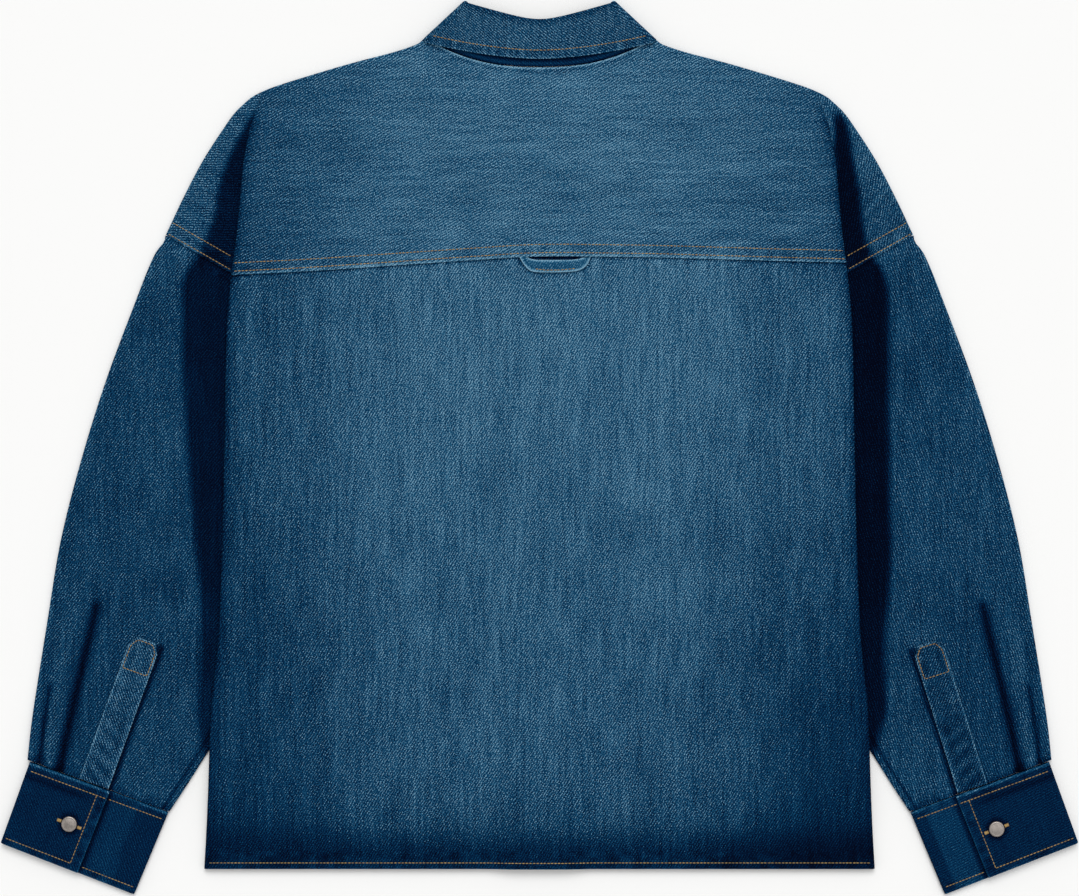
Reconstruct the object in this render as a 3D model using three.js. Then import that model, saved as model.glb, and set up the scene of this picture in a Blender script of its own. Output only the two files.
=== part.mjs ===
// Denim shirt lying face down, with both arms brought down beside the body and partly under it.
// Millimetres. +Z is up from the surface that it lies on, +Y towards the collar, +X to the right sleeve.
// The origin is the middle of the whole shirt, on that surface. Left and right are the wearer's.
// Sizes called half are distances from the middle line, and hold for both sides.

import * as THREE from 'three';

// Cloth and the levels at which its layers lie

const DENIM = 1.2; // one layer
const FLOOR = DENIM / 2; // middle of a layer that lies on the surface
const EDGE_GAP = 0.3; // on each side of a seam line, so sewn pieces are 0.6 apart
const RISE_ON_SEAM = 1.8; // from a layer's middle to the middle of cloth sewn on it
const SLEEVE_LEVEL = 2.2; // middle of the sleeve's upper layer where the body lies on it
const CREST = 3.3; // how much higher the sleeve is where it is fullest
const CREST_SLOPE = 42; // width over which it rises from either side
const VALLEY = 6; // flat strip of the sleeve beside the body's edge
const OVER_SLEEVE = 3.4; // how much the body is lifted where it lies on the sleeve
const SLEEVE_NEAR = 24; // the body is lifted fully this far from the hidden sleeve
const SLEEVE_SIDE = 54; // and not at all this far from it
const SLEEVE_BEGINS = { none: 95, full: 59 }; // heights between which the sleeve comes under the body
const OVER_COLLAR = 3; // and where it lies on the collar's leaves
const LEAF_NEAR = 12;
const LEAF_SIDE = 38;
const OVER_BUTTONS = 3.3; // and at the front bands
const BAND_NEAR = 20;
const BAND_SIDE = 50;
const BAND_BEGINS = { none: 335, full: 300 };
const BAND_SLOPE = 34; // width over which a front comes up to its band
const AIR = 4.4; // from the front's middle level to the back's
const AIR_AT_TOP = 2.4; // the same at the shoulder and the neck
const AIR_DEPTH = 45; // way down over which it grows
const EDGE_SLOPE = 60; // width over which the back comes down to its folded edge

// Folds

const EDGE_ROLL = 2.2; // radius of the body's side folds
const HIDDEN_ROLL = 0.9; // radius of the fold under the shoulder's pleat
const SHOULDER_ROLL = 1.3; // radius of the shoulder's and the sleeve's outer folds
const SLEEVE_INNER_ROLL = 0.8;
const PLEAT_OPENS = 0.35; // share of the yoke's depth over which the pleat turns fully over
const PLEAT_START = { half: 249, y: 315.5 };
const PLEAT_SETTLES = 0.1; // share of the yoke's depth after which the pleat follows the body's edge
const PLEAT_SPREAD = 4; // how far apart the pleat's lines start at the shoulder
const SHOULDER_FLAT_Y = 312;

// Outline of one half

const BODY_EDGE = [ // the body's folded edge: the shoulder's pleat, then the side
  { y: 318, half: 249.5 }, { y: 300, half: 255.5 }, { y: 281, half: 261 }, { y: 257, half: 266 },
  { y: 228, half: 268.8 }, { y: 196, half: 271.8 }, { y: 160, half: 276.3 }, { y: 108, half: 280.8 },
  { y: 0, half: 283 }, { y: -85, half: 285 }, { y: -170, half: 288.6 }, { y: -235, half: 294.9 },
  { y: -317, half: 298 }, { y: -378.2, half: 301.4 },
];
const OUTER_EDGE = [ // shoulder end and outer fold of the sleeve
  { y: 314, half: 261 }, { y: 304, half: 271.8 }, { y: 295, half: 279 }, { y: 259, half: 302.4 },
  { y: 223, half: 321.3 }, { y: 194, half: 335 }, { y: 169, half: 348.3 }, { y: 133, half: 362.7 },
  { y: 61, half: 389.7 }, { y: -11, half: 412.2 }, { y: -83, half: 430.5 }, { y: -155, half: 442.5 },
  { y: -227, half: 453.6 }, { y: -282.6, half: 459.5 },
];
const INNER_EDGE = [ // the sleeve's inner fold: hidden by the body, and in sight above the cuff
  { y: 43, half: 267 }, { y: 20, half: 265 }, { y: -20, half: 259 }, { y: -80, half: 250 },
  { y: -140, half: 246 }, { y: -190, half: 256 }, { y: -235, half: 276 }, { y: -272, half: 297.5 },
  { y: -327.2, half: 333.5 },
];
const SHOULDER = [
  { half: 104, y: 365 }, { half: 124, y: 358 }, { half: 166, y: 347 }, { half: 203, y: 336.2 },
  { half: 237, y: 325.4 }, { half: 251, y: 319.8 }, { half: 260, y: 314.6 },
];
const YOKE_SEAM = [ // not quite level
  { x: -276, y: 156.3 }, { x: -197, y: 160.7 }, { x: -53, y: 170.3 }, { x: 0, y: 173 },
  { x: 91, y: 172.6 }, { x: 145, y: 171.2 }, { x: 276, y: 167.4 },
];
const TURNED_UNDER = [ // width of the back that is folded under at the side
  { y: 157, width: 14 }, { y: 43, width: 15 }, { y: -378.2, width: 7 },
];
const HEM_Y = -378.2;
const HEM_DEPTH = 7;
const HEM_EXTRA = 0.5; // how much the turned hem stands out
const YOKE_HALF = 276.3; // at the yoke seam
const SLEEVE_TOP = { half: 332, y: 191 }; // where the armhole seam meets the shoulder fold
const ARMHOLE_TURN = { half: 262.5, y: 150 }; // hidden: the seam turns down under the body
const UNDERARM_Y = 43;
const YOKE_FRONT_DEPTH = 35; // of the yoke that comes over the shoulder to the front
const CORNER_SEAM = { x: 0.75, y: 0.95 }; // shares of that depth at the shoulder's corner

// Neck and collar

const COLLAR_CLOTH = 2;
const COLLAR_MIDDLE = 4.8; // level of the flattened ring's middle
const STAND_RADIUS = 1.2; // of the stand's layers from that level
const FALL_RADIUS = 3.7;
const NECK = { half: 104, y: 365, back: 341, front: 288, backCurve: 2.1, frontCurve: 2.2 };
const NECK_GAPS = { front: 1.2, band: 1.5, standBack: 0.6, standFront: 0.5 }; // from the neck's line
const STAND_CORNER = { half: 100.5, y: 366.6 };
const ROLL_CORNER = { half: 65.5, y: 397.5 };
const ROLL_BACK = 383;
const ROLL_FRONT = { half: 2, y: 320 };
const FALL_CORNER = { half: 100, y: 366.5 };
const CORNER_OUT = { x: 0.66, y: 0.75 }; // direction in which the ring's side folds bulge
const STAND_TOP = 0.92; // share of the way from the neck to the roll at which the stand ends
const CURVES = { roll: 1.4, fall: 1.5, rollFront: 1.8, leaf: 0.9 }; // how the collar's lines bend
const FALL_BACK = 348.4;
const LEAF_POINT = { half: 58, y: 258 };

// Front bands and buttons

const BAND_CLOTH = 2;
const BUTTONHOLE_BAND = { from: -15, to: 15, level: 3.4 };
const BUTTON_BAND = { from: -12, to: 18, level: 5.8 };
const BUTTON = { radius: 7, thick: 2.1, dome: 0.5, flat: 0.8 };
const FRONT_BUTTONS = 6;
const FIRST_BUTTON_Y = 262;
const LAST_BUTTON_Y = -275;
const COLLAR_BUTTON_Y = 303;
const COLLAR_BUTTON_LEVEL = 0.2;

// Cuffs and sleeve plackets

const CUFF_CLOTH = 2.2;
const CUFF = { lower: 1.1, upper: 3.7, lap: 6.3, lapLength: 24, width: 132 };
const CUFF_CORNERS = {
  outerTop: [458, -281.8],
  innerTop: [333.5, -327.2],
  outerBottom: [484.2, -354.6],
  innerBottom: [364.5, -401.2],
};
const SIDES = [
  { name: 'left', sign: -1, lapEdge: 76.6, foot: [400, -301.5], peak: [352.8, -172.5] },
  { name: 'right', sign: 1, lapEdge: 89.4, foot: [388.6, -305.5], peak: [347.4, -175.5] },
];
const BUTTON_FROM_LAP = 23.3;
const BUTTON_DOWN = 0.51; // share of the cuff's height
const PLACKET = { width: 27.5, peak: 9, peakWidth: 0.64, cloth: 1.6, rise: 2.1 };
const PLEATS = [ // in the sleeve above the cuff: share of its width, how much it steps, and its length
  { at: 0.055, step: 1, from: 0.8 },
  { at: 0.205, step: 1.5, from: 0.62 },
];
const PLEAT_EDGE = 0.016; // share of the width that a pleat's step takes
const PLEAT_RIDGE = { side: 0.12, top: 0.01 }; // shares of the width before the step
const PLEAT_GROWS = 0.14; // share of the length over which a pleat deepens
const AT_CUFF = 0.86; // share of the length from which the sleeve flattens towards the cuff
const UNDER_AT_CUFF = 0.94; // the same for its lower layer
const OVER_LAP = { rise: 1.4, none: 0.62, full: 0.45 }; // the sleeve is higher over the cuff's lap
const SLEEVE_CLEAR = { x: 0.7, y: 0.8 }; // direction away from the armhole seam
const OUTER_FOLD_OUT = { x: 0.95, y: 0.3 }; // direction in which the sleeve's outer fold bulges

// Locker loop, a flat strip bent to a U on the back panel, from its left end to its right end

const LOOP = [
  { outerX: -18.2, outerY: 171.4, innerX: -10.5, innerY: 170.8 },
  { outerX: -13.5, outerY: 164, innerX: -6.5, innerY: 169.2 },
  { outerX: -8, outerY: 159, innerX: -2, innerY: 168.7 },
  { outerX: 2, outerY: 157.5, innerX: 6, innerY: 168.6 },
  { outerX: 26.5, outerY: 158, innerX: 24, innerY: 168.6 },
  { outerX: 37, outerY: 160.2, innerX: 31, innerY: 169 },
  { outerX: 43, outerY: 165, innerX: 35.5, innerY: 169.6 },
  { outerX: 46, outerY: 171.2, innerX: 39, innerY: 170.8 },
];

// Colours

const MATERIALS = {
  body: new THREE.MeshStandardMaterial({ color: 0x2a5775, roughness: 0.9, metalness: 0 }),
  sleeve: new THREE.MeshStandardMaterial({ color: 0x153c5c, roughness: 0.9, metalness: 0 }),
  trim: new THREE.MeshStandardMaterial({ color: 0x0b2743, roughness: 0.9, metalness: 0 }),
  metal: new THREE.MeshStandardMaterial({ color: 0xa6a49f, roughness: 0.4, metalness: 1 }),
};

// Helpers

const mix = (a, b, share) => a + (b - a) * share;
const mixPoint = (a, b, share) => ({ half: mix(a.half, b.half, share), y: mix(a.y, b.y, share) });
const shares = (count) => Array.from({ length: count + 1 }, (_, i) => i / count);

function smooth(from, to, value) {
  const share = Math.min(1, Math.max(0, (value - from) / (to - from)));
  return share * share * (3 - 2 * share);
}

/** A smooth curve through a table, from the column named by to the column named of. */
function through(table, by, of) {
  const rows = [...table].sort((a, b) => a[by] - b[by]);
  const last = rows.length - 1;
  const slope = (i, j) => (rows[j][of] - rows[i][of]) / (rows[j][by] - rows[i][by]);
  return (at) => {
    let i = 0;
    while (i < last - 1 && rows[i + 1][by] <= at) i++;
    const span = rows[i + 1][by] - rows[i][by];
    const s = (at - rows[i][by]) / span;
    if (s < 0 || s > 1) return mix(rows[i][of], rows[i + 1][of], s);
    const start = slope(Math.max(0, i - 1), i + 1) * span;
    const end = slope(i, Math.min(last, i + 2)) * span;
    const rise = rows[i + 1][of] - rows[i][of];
    return rows[i][of] + s * (start + s * (3 * rise - 2 * start - end + s * (start + end - 2 * rise)));
  };
}

const bodyEdge = through(BODY_EDGE, 'y', 'half');
const outerEdge = through(OUTER_EDGE, 'y', 'half');
const innerEdge = through(INNER_EDGE, 'y', 'half');
const shoulderY = through(SHOULDER, 'half', 'y');
const yokeSeam = through(YOKE_SEAM, 'x', 'y');
const turnedUnder = through(TURNED_UNDER, 'y', 'width');
const seamHalf = (y) => bodyEdge(y) - turnedUnder(y); // side seam, and above it the armhole seam
const point = (sign, half, y, z) => new THREE.Vector3(sign * half, y, z);

/**
 * A cloth wall. Each patch is a grid of points in the middle of the cloth, and patches that share
 * points are joined. The points are moved both ways along the surface's normal, and the rim is closed.
 */
function wall(patches, thickness, extra = () => 0) {
  const points = [];
  const index = new Map();
  const faces = [];
  const idOf = (p) => {
    const key = [p.x, p.y, p.z].map((n) => Math.round(n * 200)).join();
    if (!index.has(key)) {
      index.set(key, points.length);
      points.push(p);
    }
    return index.get(key);
  };
  for (const rows of patches) {
    const ids = rows.map((row) => row.map(idOf));
    for (let i = 0; i + 1 < ids.length; i++) {
      for (let j = 0; j + 1 < ids[i].length; j++) {
        const corners = [ids[i][j], ids[i][j + 1], ids[i + 1][j + 1], ids[i + 1][j]];
        const face = corners.filter((id, k) => id !== corners[(k + 3) % 4]);
        if (face.length > 2) faces.push(face);
      }
    }
  }
  const normals = points.map(() => new THREE.Vector3());
  for (const face of faces) {
    const normal = new THREE.Vector3();
    const origin = points[face[0]];
    for (let k = 1; k + 1 < face.length; k++) {
      const a = points[face[k]].clone().sub(origin);
      normal.add(a.cross(points[face[k + 1]].clone().sub(origin)));
    }
    normal.normalize();
    for (const id of face) normals[id].add(normal);
  }
  const positions = [];
  points.forEach((p, i) => {
    const normal = normals[i].normalize();
    const outside = p.clone().addScaledVector(normal, thickness / 2 + extra(p));
    const inside = p.clone().addScaledVector(normal, -thickness / 2);
    positions.push(...outside.toArray(), ...inside.toArray());
  });
  const triangles = [];
  const edges = new Set();
  for (const face of faces) {
    face.forEach((id, k) => edges.add(`${id}>${face[(k + 1) % face.length]}`));
    for (let k = 1; k + 1 < face.length; k++) {
      const [a, b, c] = [face[0] * 2, face[k] * 2, face[k + 1] * 2];
      triangles.push(a, b, c, a + 1, c + 1, b + 1);
    }
  }
  for (const edge of edges) {
    const [from, to] = edge.split('>').map((id) => 2 * id);
    if (!edges.has(`${to / 2}>${from / 2}`)) triangles.push(from, from + 1, to + 1, from, to + 1, to);
  }
  const geometry = new THREE.BufferGeometry();
  geometry.setAttribute('position', new THREE.Float32BufferAttribute(positions, 3));
  geometry.setIndex(triangles);
  geometry.computeVertexNormals();
  return geometry;
}

/** Points of a half turn from one level down to another, bulging along (dx, dy). The ends are left out. */
function halfTurn(x, y, upper, lower, dx, dy, count = 4) {
  const radius = (upper - lower) / 2;
  return shares(count).slice(1, -1).map((share) => {
    const angle = Math.PI * share;
    const out = radius * Math.sin(angle);
    return new THREE.Vector3(x + dx * out, y + dy * out, lower + radius + radius * Math.cos(angle));
  });
}

/** One section across the shirt from the half sections of both sides, each from the middle outwards. */
const across = (section) => [...section(-1).reverse(), ...section(1).slice(1)];

const shirt = new THREE.Group();

function addPiece(name, geometry, material) {
  const mesh = new THREE.Mesh(geometry, material);
  mesh.name = name;
  shirt.add(mesh);
}

// Levels

const LEAVES = [ // outline of the place where they lie, with a small margin
  [0, 256], [LEAF_POINT.half, 256], [FALL_CORNER.half + 4, 368], [ROLL_CORNER.half + 2, 402], [0, 402],
];

/** Distance from a place to the area where the collar's leaves lie, 0 inside it. */
function fromLeaves(half, y) {
  let inside = true;
  let nearest = Infinity;
  LEAVES.slice(0, -1).forEach(([ax, ay], i) => {
    const [bx, by] = LEAVES[i + 1];
    const side = (bx - ax) * (y - ay) - (by - ay) * (half - ax);
    if (side < 0) inside = false;
    const length = (bx - ax) ** 2 + (by - ay) ** 2;
    const share = Math.min(1, Math.max(0, ((half - ax) * (bx - ax) + (y - ay) * (by - ay)) / length));
    nearest = Math.min(nearest, Math.hypot(half - mix(ax, bx, share), y - mix(ay, by, share)));
  });
  return inside ? 0 : nearest;
}

/** Middle level of the body's front where nothing but the sleeve and the collar lies under it. */
function restLevel(half, y) {
  const sleeveFrom = y > UNDERARM_Y ? seamHalf(y) : innerEdge(y);
  const begins = smooth(SLEEVE_BEGINS.none, SLEEVE_BEGINS.full, y);
  const sleeve = OVER_SLEEVE * smooth(SLEEVE_SIDE, SLEEVE_NEAR, sleeveFrom - half) * begins;
  return FLOOR + Math.max(sleeve, OVER_COLLAR * smooth(LEAF_SIDE, LEAF_NEAR, fromLeaves(half, y)));
}

/** Middle level of the body's front, with its lift at the bands. */
function frontLevel(half, y) {
  const begins = smooth(BAND_BEGINS.none, BAND_BEGINS.full, y);
  const lift = OVER_BUTTONS * smooth(BAND_SIDE, BAND_NEAR, half) * begins;
  return Math.max(restLevel(half, y), FLOOR + lift);
}

/** Middle level of the strip of the back that is turned under at the side. */
function turnedLevel(y) {
  const fromSleeve = innerEdge(Math.min(y, UNDERARM_Y)) - bodyEdge(y);
  return FLOOR + OVER_SLEEVE * smooth(SLEEVE_SIDE, SLEEVE_NEAR, fromSleeve);
}

function neckY(half, middle, power) {
  return mix(middle, NECK.y, Math.pow(Math.min(1, half / NECK.half), power));
}
const topY = (half) => (half < NECK.half ? neckY(half, NECK.back, NECK.backCurve) : shoulderY(half));

/** Middle level of the back, which comes to edgeLevel at its folded edge. */
function backLevel(half, y, edgeHalf, edgeLevel) {
  const air = mix(AIR_AT_TOP, AIR, smooth(0, AIR_DEPTH, topY(half) - y));
  return mix(frontLevel(half, y) + air, edgeLevel, smooth(EDGE_SLOPE, 0, edgeHalf - half));
}

/** Middle level of the sleeve's upper layer and of the shoulder's end above it. */
function sleeveLevel(half, y) {
  const fromOuter = smooth(0, CREST_SLOPE, outerEdge(y) - half);
  const fromBody = smooth(VALLEY, VALLEY + CREST_SLOPE, half - bodyEdge(y));
  const outerRise = FLOOR + 2 * SHOULDER_ROLL - SLEEVE_LEVEL;
  return SLEEVE_LEVEL + outerRise * (1 - fromOuter) + CREST * fromBody * fromOuter;
}

// Back yoke: one piece with the shoulder's pleat in it, and the strip that comes over to the front

const ARMHOLE_DOWN = new THREE.Vector2(
  ARMHOLE_TURN.half - SLEEVE_TOP.half,
  ARMHOLE_TURN.y - SLEEVE_TOP.y,
).normalize();
const OUTLINE_IN = SHOULDER_ROLL + DENIM / 2; // from the outline in to where a fold's round starts
const SHOULDER_IN = OUTLINE_IN * 1.15; // the same on the shoulder's slanting end
const SHOULDER_TURN = 0.15; // share of the shoulder's end over which the outline comes in

/** The pleat's section at a share of the way down the yoke: over, back under the body, and out again. */
function pleat(share, sign) {
  const edgeY = mix(PLEAT_START.y, yokeSeam(YOKE_HALF * sign), share);
  const turn = Math.PI * smooth(0, PLEAT_OPENS, share);
  const opened = Math.max(0, (share - PLEAT_OPENS) / (1 - PLEAT_OPENS));
  const hidden = (TURNED_UNDER[0].width - EDGE_ROLL - DENIM / 2) * opened;
  const out = EDGE_ROLL * (turn > Math.PI / 2 ? 1 : Math.sin(turn));
  const edgeHalf = bodyEdge(edgeY) - out - DENIM / 2;
  const startHalf = mix(PLEAT_START.half, edgeHalf, smooth(0, PLEAT_SETTLES, share));
  const section = [{ along: 0, drop: 0 }];
  const arcs = 4;
  const spread = PLEAT_SPREAD * (1 - turn / Math.PI);
  let along = 0;
  let drop = 0;
  let angle = 0;
  const advance = (length, turned) => {
    const middle = angle + turned / 2;
    angle += turned;
    along += length * Math.cos(middle) + spread / arcs;
    drop += length * Math.sin(middle);
    section.push({ along, drop });
  };
  const chord = (radius) => 2 * radius * Math.sin(turn / arcs / 2);
  for (let i = 0; i < arcs; i++) advance(chord(EDGE_ROLL), turn / arcs);
  advance(hidden / 2, 0);
  advance(hidden / 2, 0);
  for (let i = 0; i < arcs; i++) advance(chord(HIDDEN_ROLL), -turn / arcs);
  const endY = mix(edgeY, edgeY + (ARMHOLE_TURN.y - edgeY) * share, share);
  const end = { half: startHalf + along, y: endY };
  const endLevel = sleeveLevel(end.half, Math.min(end.y, SHOULDER_FLAT_Y));
  const points = section.map((p, i) => {
    const towards = Math.min(1, Math.max(0, (i - arcs) / 2));
    return point(sign, startHalf + p.along, mix(edgeY, endY, towards), endLevel + drop - p.drop);
  });
  return { start: { half: startHalf, y: edgeY }, level: endLevel + drop, end, points };
}

const YOKE_COLUMNS = [0, 0.075, 0.16, 0.28, 0.418, 0.51, 0.62, 0.74, 0.86, 0.95];
const CAP_COLUMNS = shares(6).slice(1);

/** A place on the shoulder's fold, from the pleat's start (0) to the sleeve's top (1). */
function shoulderEnd(share, from) {
  const y = mix(from.y, SLEEVE_TOP.y, share);
  const half = outerEdge(y) - SHOULDER_IN;
  return { half: mix(from.half, half, smooth(0, SHOULDER_TURN, share)), y };
}

function yokeSection(share, sign) {
  const fold = pleat(share, sign);
  const top = pleat(0, sign);
  const bottom = pleat(1, sign);
  const body = YOKE_COLUMNS.map((g) => {
    const half = g * fold.start.half;
    const topHalf = g * top.start.half;
    const inset = topHalf < NECK.half ? EDGE_GAP : OUTLINE_IN;
    const seamY = yokeSeam(sign * g * bottom.start.half) + EDGE_GAP;
    const y = mix(topY(topHalf) - inset, seamY, share);
    return point(sign, half, y, backLevel(half, y, fold.start.half, fold.level));
  });
  const cap = CAP_COLUMNS.map((c) => {
    const above = shoulderEnd(c, top.end);
    const below = mixPoint(bottom.end, SLEEVE_TOP, c);
    const place = mixPoint(above, below, share);
    const ends = mixPoint(top.end, bottom.end, share);
    const half = place.half + (1 - c) * (fold.end.half - ends.half);
    const y = place.y + (1 - c) * (fold.end.y - ends.y);
    const end = point(sign, half, y, sleeveLevel(half, y));
    if (c === 1) end.set(sign * SLEEVE_TOP.half, SLEEVE_TOP.y, sleeveLevel(SLEEVE_TOP.half, SLEEVE_TOP.y));
    return end;
  });
  return [...body, ...fold.points, ...cap];
}

/** The strip over the shoulder: from the front seam up to the shoulder's fold and over it. */
function yokeFront(sign, depth = YOKE_FRONT_DEPTH) {
  const top = yokeSection(0, sign);
  const first = YOKE_COLUMNS.findIndex((g) => g * PLEAT_START.half >= NECK.half);
  const edge = top.slice(first);
  const last = edge.length - 1;
  const length = [0];
  for (let i = 1; i <= last; i++) length.push(length[i - 1] + edge[i].distanceTo(edge[i - 1]));
  const corner = YOKE_COLUMNS.length - first;
  const moved = (p, x, y) => new THREE.Vector2(p.x + sign * x * depth, p.y + y * depth);
  const seamStart = moved(edge[0], 0, -1);
  const seamCorner = moved(edge[corner], -CORNER_SEAM.x, -CORNER_SEAM.y);
  const seamEnd = moved(edge[last], ARMHOLE_DOWN.x, ARMHOLE_DOWN.y);
  const columns = edge.map((p, i) => {
    const before = edge[Math.max(0, i - 3)];
    const after = edge[Math.min(last, i + 3)];
    const out = new THREE.Vector2(-sign * (after.y - before.y), sign * (after.x - before.x)).normalize();
    const share = (length[i] - length[corner]) / (length[last] - length[corner]);
    const seam = share < 0
      ? seamStart.clone().lerp(seamCorner, length[i] / length[corner])
      : seamCorner.clone().lerp(seamEnd, share);
    const flat = [0, 0.5, 1].map((s) => {
      const [x, y] = [mix(seam.x, p.x, s), mix(seam.y, p.y, s)];
      return new THREE.Vector3(x, y, restLevel(Math.abs(x), y));
    });
    const round = halfTurn(p.x, p.y, p.z, flat[2].z, out.x, out.y, 3).reverse();
    return [...flat, ...round, p];
  });
  if (sign < 0) columns.reverse();
  return columns[0].map((_, row) => columns.map((column) => column[row]));
}

const YOKE_ROWS = [0, 0.06, 0.13, 0.2, 0.28, 0.36, 0.56, 0.78, 1];
const yokeTop = YOKE_ROWS.map((share) => across((sign) => yokeSection(share, sign)));
addPiece('back_yoke', wall([yokeTop, yokeFront(-1), yokeFront(1)], DENIM), MATERIALS.body);

// Back panel, with its side edges folded under as far as the side seams

const BACK_COLUMNS = [0, 0.07, 0.16, 0.3, 0.45, 0.6, 0.72, 0.82, 0.9, 0.96];

function backSection(share, sign) {
  const top = yokeSeam(YOKE_HALF * sign) - EDGE_GAP;
  const edgeY = mix(top, HEM_Y, share);
  const startHalf = bodyEdge(edgeY) - EDGE_ROLL - DENIM / 2;
  const lower = turnedLevel(edgeY);
  const upper = lower + 2 * EDGE_ROLL;
  const body = BACK_COLUMNS.map((g) => {
    const half = g * startHalf;
    const y = mix(yokeSeam(sign * half) - EDGE_GAP, HEM_Y, share);
    return point(sign, half, y, backLevel(half, y, startHalf, upper));
  });
  const round = halfTurn(sign * startHalf, edgeY, upper, lower, sign, 0);
  const under = [0, 0.5, 1].map((s) => {
    const y = mix(mix(top, ARMHOLE_TURN.y - EDGE_GAP, s), HEM_Y, share);
    return point(sign, mix(startHalf, seamHalf(y) + EDGE_GAP, s), y, mix(lower, turnedLevel(y), s));
  });
  return [...body, point(sign, startHalf, edgeY, upper), ...round, ...under];
}

const BODY_ROWS = [0, 0.08, 0.17, 0.26, 0.35, 0.44, 0.53, 0.62, 0.7, 0.77, 0.84, 0.92, 0.985, 1];
const hem = (p) => (p.y < HEM_Y + HEM_DEPTH ? HEM_EXTRA : 0);
const backRows = BODY_ROWS.map((share) => across((sign) => backSection(share, sign)));
addPiece('back_panel', wall([backRows], DENIM, hem), MATERIALS.body);

// Fronts, which lie on the surface, on the collar's leaves and on the hidden part of the sleeves

const FRONT_COLUMNS = [0, 0.07, 0.15, 0.25, 0.4, 0.58, 0.72, 0.82, 0.9, 0.96, 1];
const FRONT_ROWS = [0, 0.05, 0.1, 0.16, 0.22, 0.28, 0.35, 0.45, 0.55, 0.65, 0.74, 0.81, 0.88, 0.94, 0.985, 1];
const TURN_ROW = 0.1;
const UNDERARM_ROW = 0.28;
const YOKE_FRONT_END = {
  half: SLEEVE_TOP.half + ARMHOLE_DOWN.x * (YOKE_FRONT_DEPTH + 1),
  y: SLEEVE_TOP.y + ARMHOLE_DOWN.y * (YOKE_FRONT_DEPTH + 1),
};

function frontOuter(share) {
  if (share < TURN_ROW) return mixPoint(YOKE_FRONT_END, ARMHOLE_TURN, share / TURN_ROW);
  const y = share < UNDERARM_ROW
    ? mix(ARMHOLE_TURN.y, UNDERARM_Y, (share - TURN_ROW) / (UNDERARM_ROW - TURN_ROW))
    : mix(UNDERARM_Y, HEM_Y, (share - UNDERARM_ROW) / (1 - UNDERARM_ROW));
  return { half: seamHalf(y) - EDGE_GAP, y };
}

const NECK_SHARE = 0.25; // of the front's width, from the band to the end of the neck
const frontNeckY = (half) => neckY(half, NECK.front, NECK.frontCurve) - NECK_GAPS.front;

/** The front's upper edge, from the band along the neck and then along the yoke's front seam. */
function frontTop(share, bandHalf, sign) {
  const strip = yokeFront(sign, YOKE_FRONT_DEPTH + 2 * EDGE_GAP)[0];
  const seam = strip.map((p) => ({ half: Math.abs(p.x), y: p.y })).sort((a, b) => a.half - b.half);
  if (share > NECK_SHARE) {
    return seam[Math.round((seam.length - 1) * (share - NECK_SHARE) / (1 - NECK_SHARE))];
  }
  const half = mix(bandHalf, seam[0].half, share / NECK_SHARE);
  return { half, y: Math.min(frontNeckY(half), seam[0].y) };
}

function frontPanel(name, sign, bandHalf, bandLevel) {
  const rows = FRONT_ROWS.map((share) => FRONT_COLUMNS.map((g) => {
    const bandTop = { half: bandHalf, y: frontNeckY(bandHalf) };
    const place = mixPoint({ half: bandHalf, y: mix(bandTop.y, HEM_Y, share) }, frontOuter(share), g);
    const straight = mixPoint(bandTop, frontOuter(0), g);
    const top = frontTop(g, bandHalf, sign);
    const half = place.half + (1 - share) ** 3 * (top.half - straight.half);
    const y = place.y + (1 - share) ** 3 * (top.y - straight.y);
    const band = FLOOR + (bandLevel - FLOOR) * smooth(bandHalf + BAND_SLOPE, bandHalf + 1, half);
    return point(sign, half, y, Math.max(restLevel(half, y), band));
  }));
  addPiece(name, wall([sign < 0 ? rows.map((row) => row.reverse()) : rows], DENIM), MATERIALS.body);
}

frontPanel('front_left', -1, -BUTTONHOLE_BAND.from + 2 * EDGE_GAP, BUTTONHOLE_BAND.level);
frontPanel('front_right', 1, BUTTON_BAND.to + 2 * EDGE_GAP, BUTTON_BAND.level);

function frontBand(name, band) {
  const rows = shares(8).map((share) => [band.from, (band.from + band.to) / 2, band.to].map((x) => (
    new THREE.Vector3(x, mix(NECK.front - NECK_GAPS.band, HEM_Y, share), band.level))));
  addPiece(name, wall([rows], BAND_CLOTH), MATERIALS.body);
}

frontBand('buttonhole_band', BUTTONHOLE_BAND);
frontBand('button_band', BUTTON_BAND);

// Sleeves: flattened tubes that start along the armhole seam

const ARMHOLE_SHARE = 0.42; // of the seam that runs down to its hidden turn
const SLEEVE_OPENS = 0.05; // share of the length over which the outer fold comes out to the outline
const SLEEVE_COLUMNS = [
  0, 0.035, 0.055, 0.071, 0.12, 0.17, 0.205, 0.221, 0.29, 0.36, 0.44, 0.53, 0.62, 0.72, 0.84, 1,
];
const LOWER_COLUMNS = [1, 0.85, 0.7, 0.55, 0.42, 0.3, 0.15, 0];
const SLEEVE_ROWS = [0, 0.05, 0.11, 0.19, 0.28, 0.38, 0.48, 0.58, 0.67, 0.76, 0.85, 0.94, 1];

function armholeSeam(share) {
  if (share < ARMHOLE_SHARE) return mixPoint(SLEEVE_TOP, ARMHOLE_TURN, share / ARMHOLE_SHARE);
  const y = mix(ARMHOLE_TURN.y, UNDERARM_Y, (share - ARMHOLE_SHARE) / (1 - ARMHOLE_SHARE));
  return { half: seamHalf(y), y };
}

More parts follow.
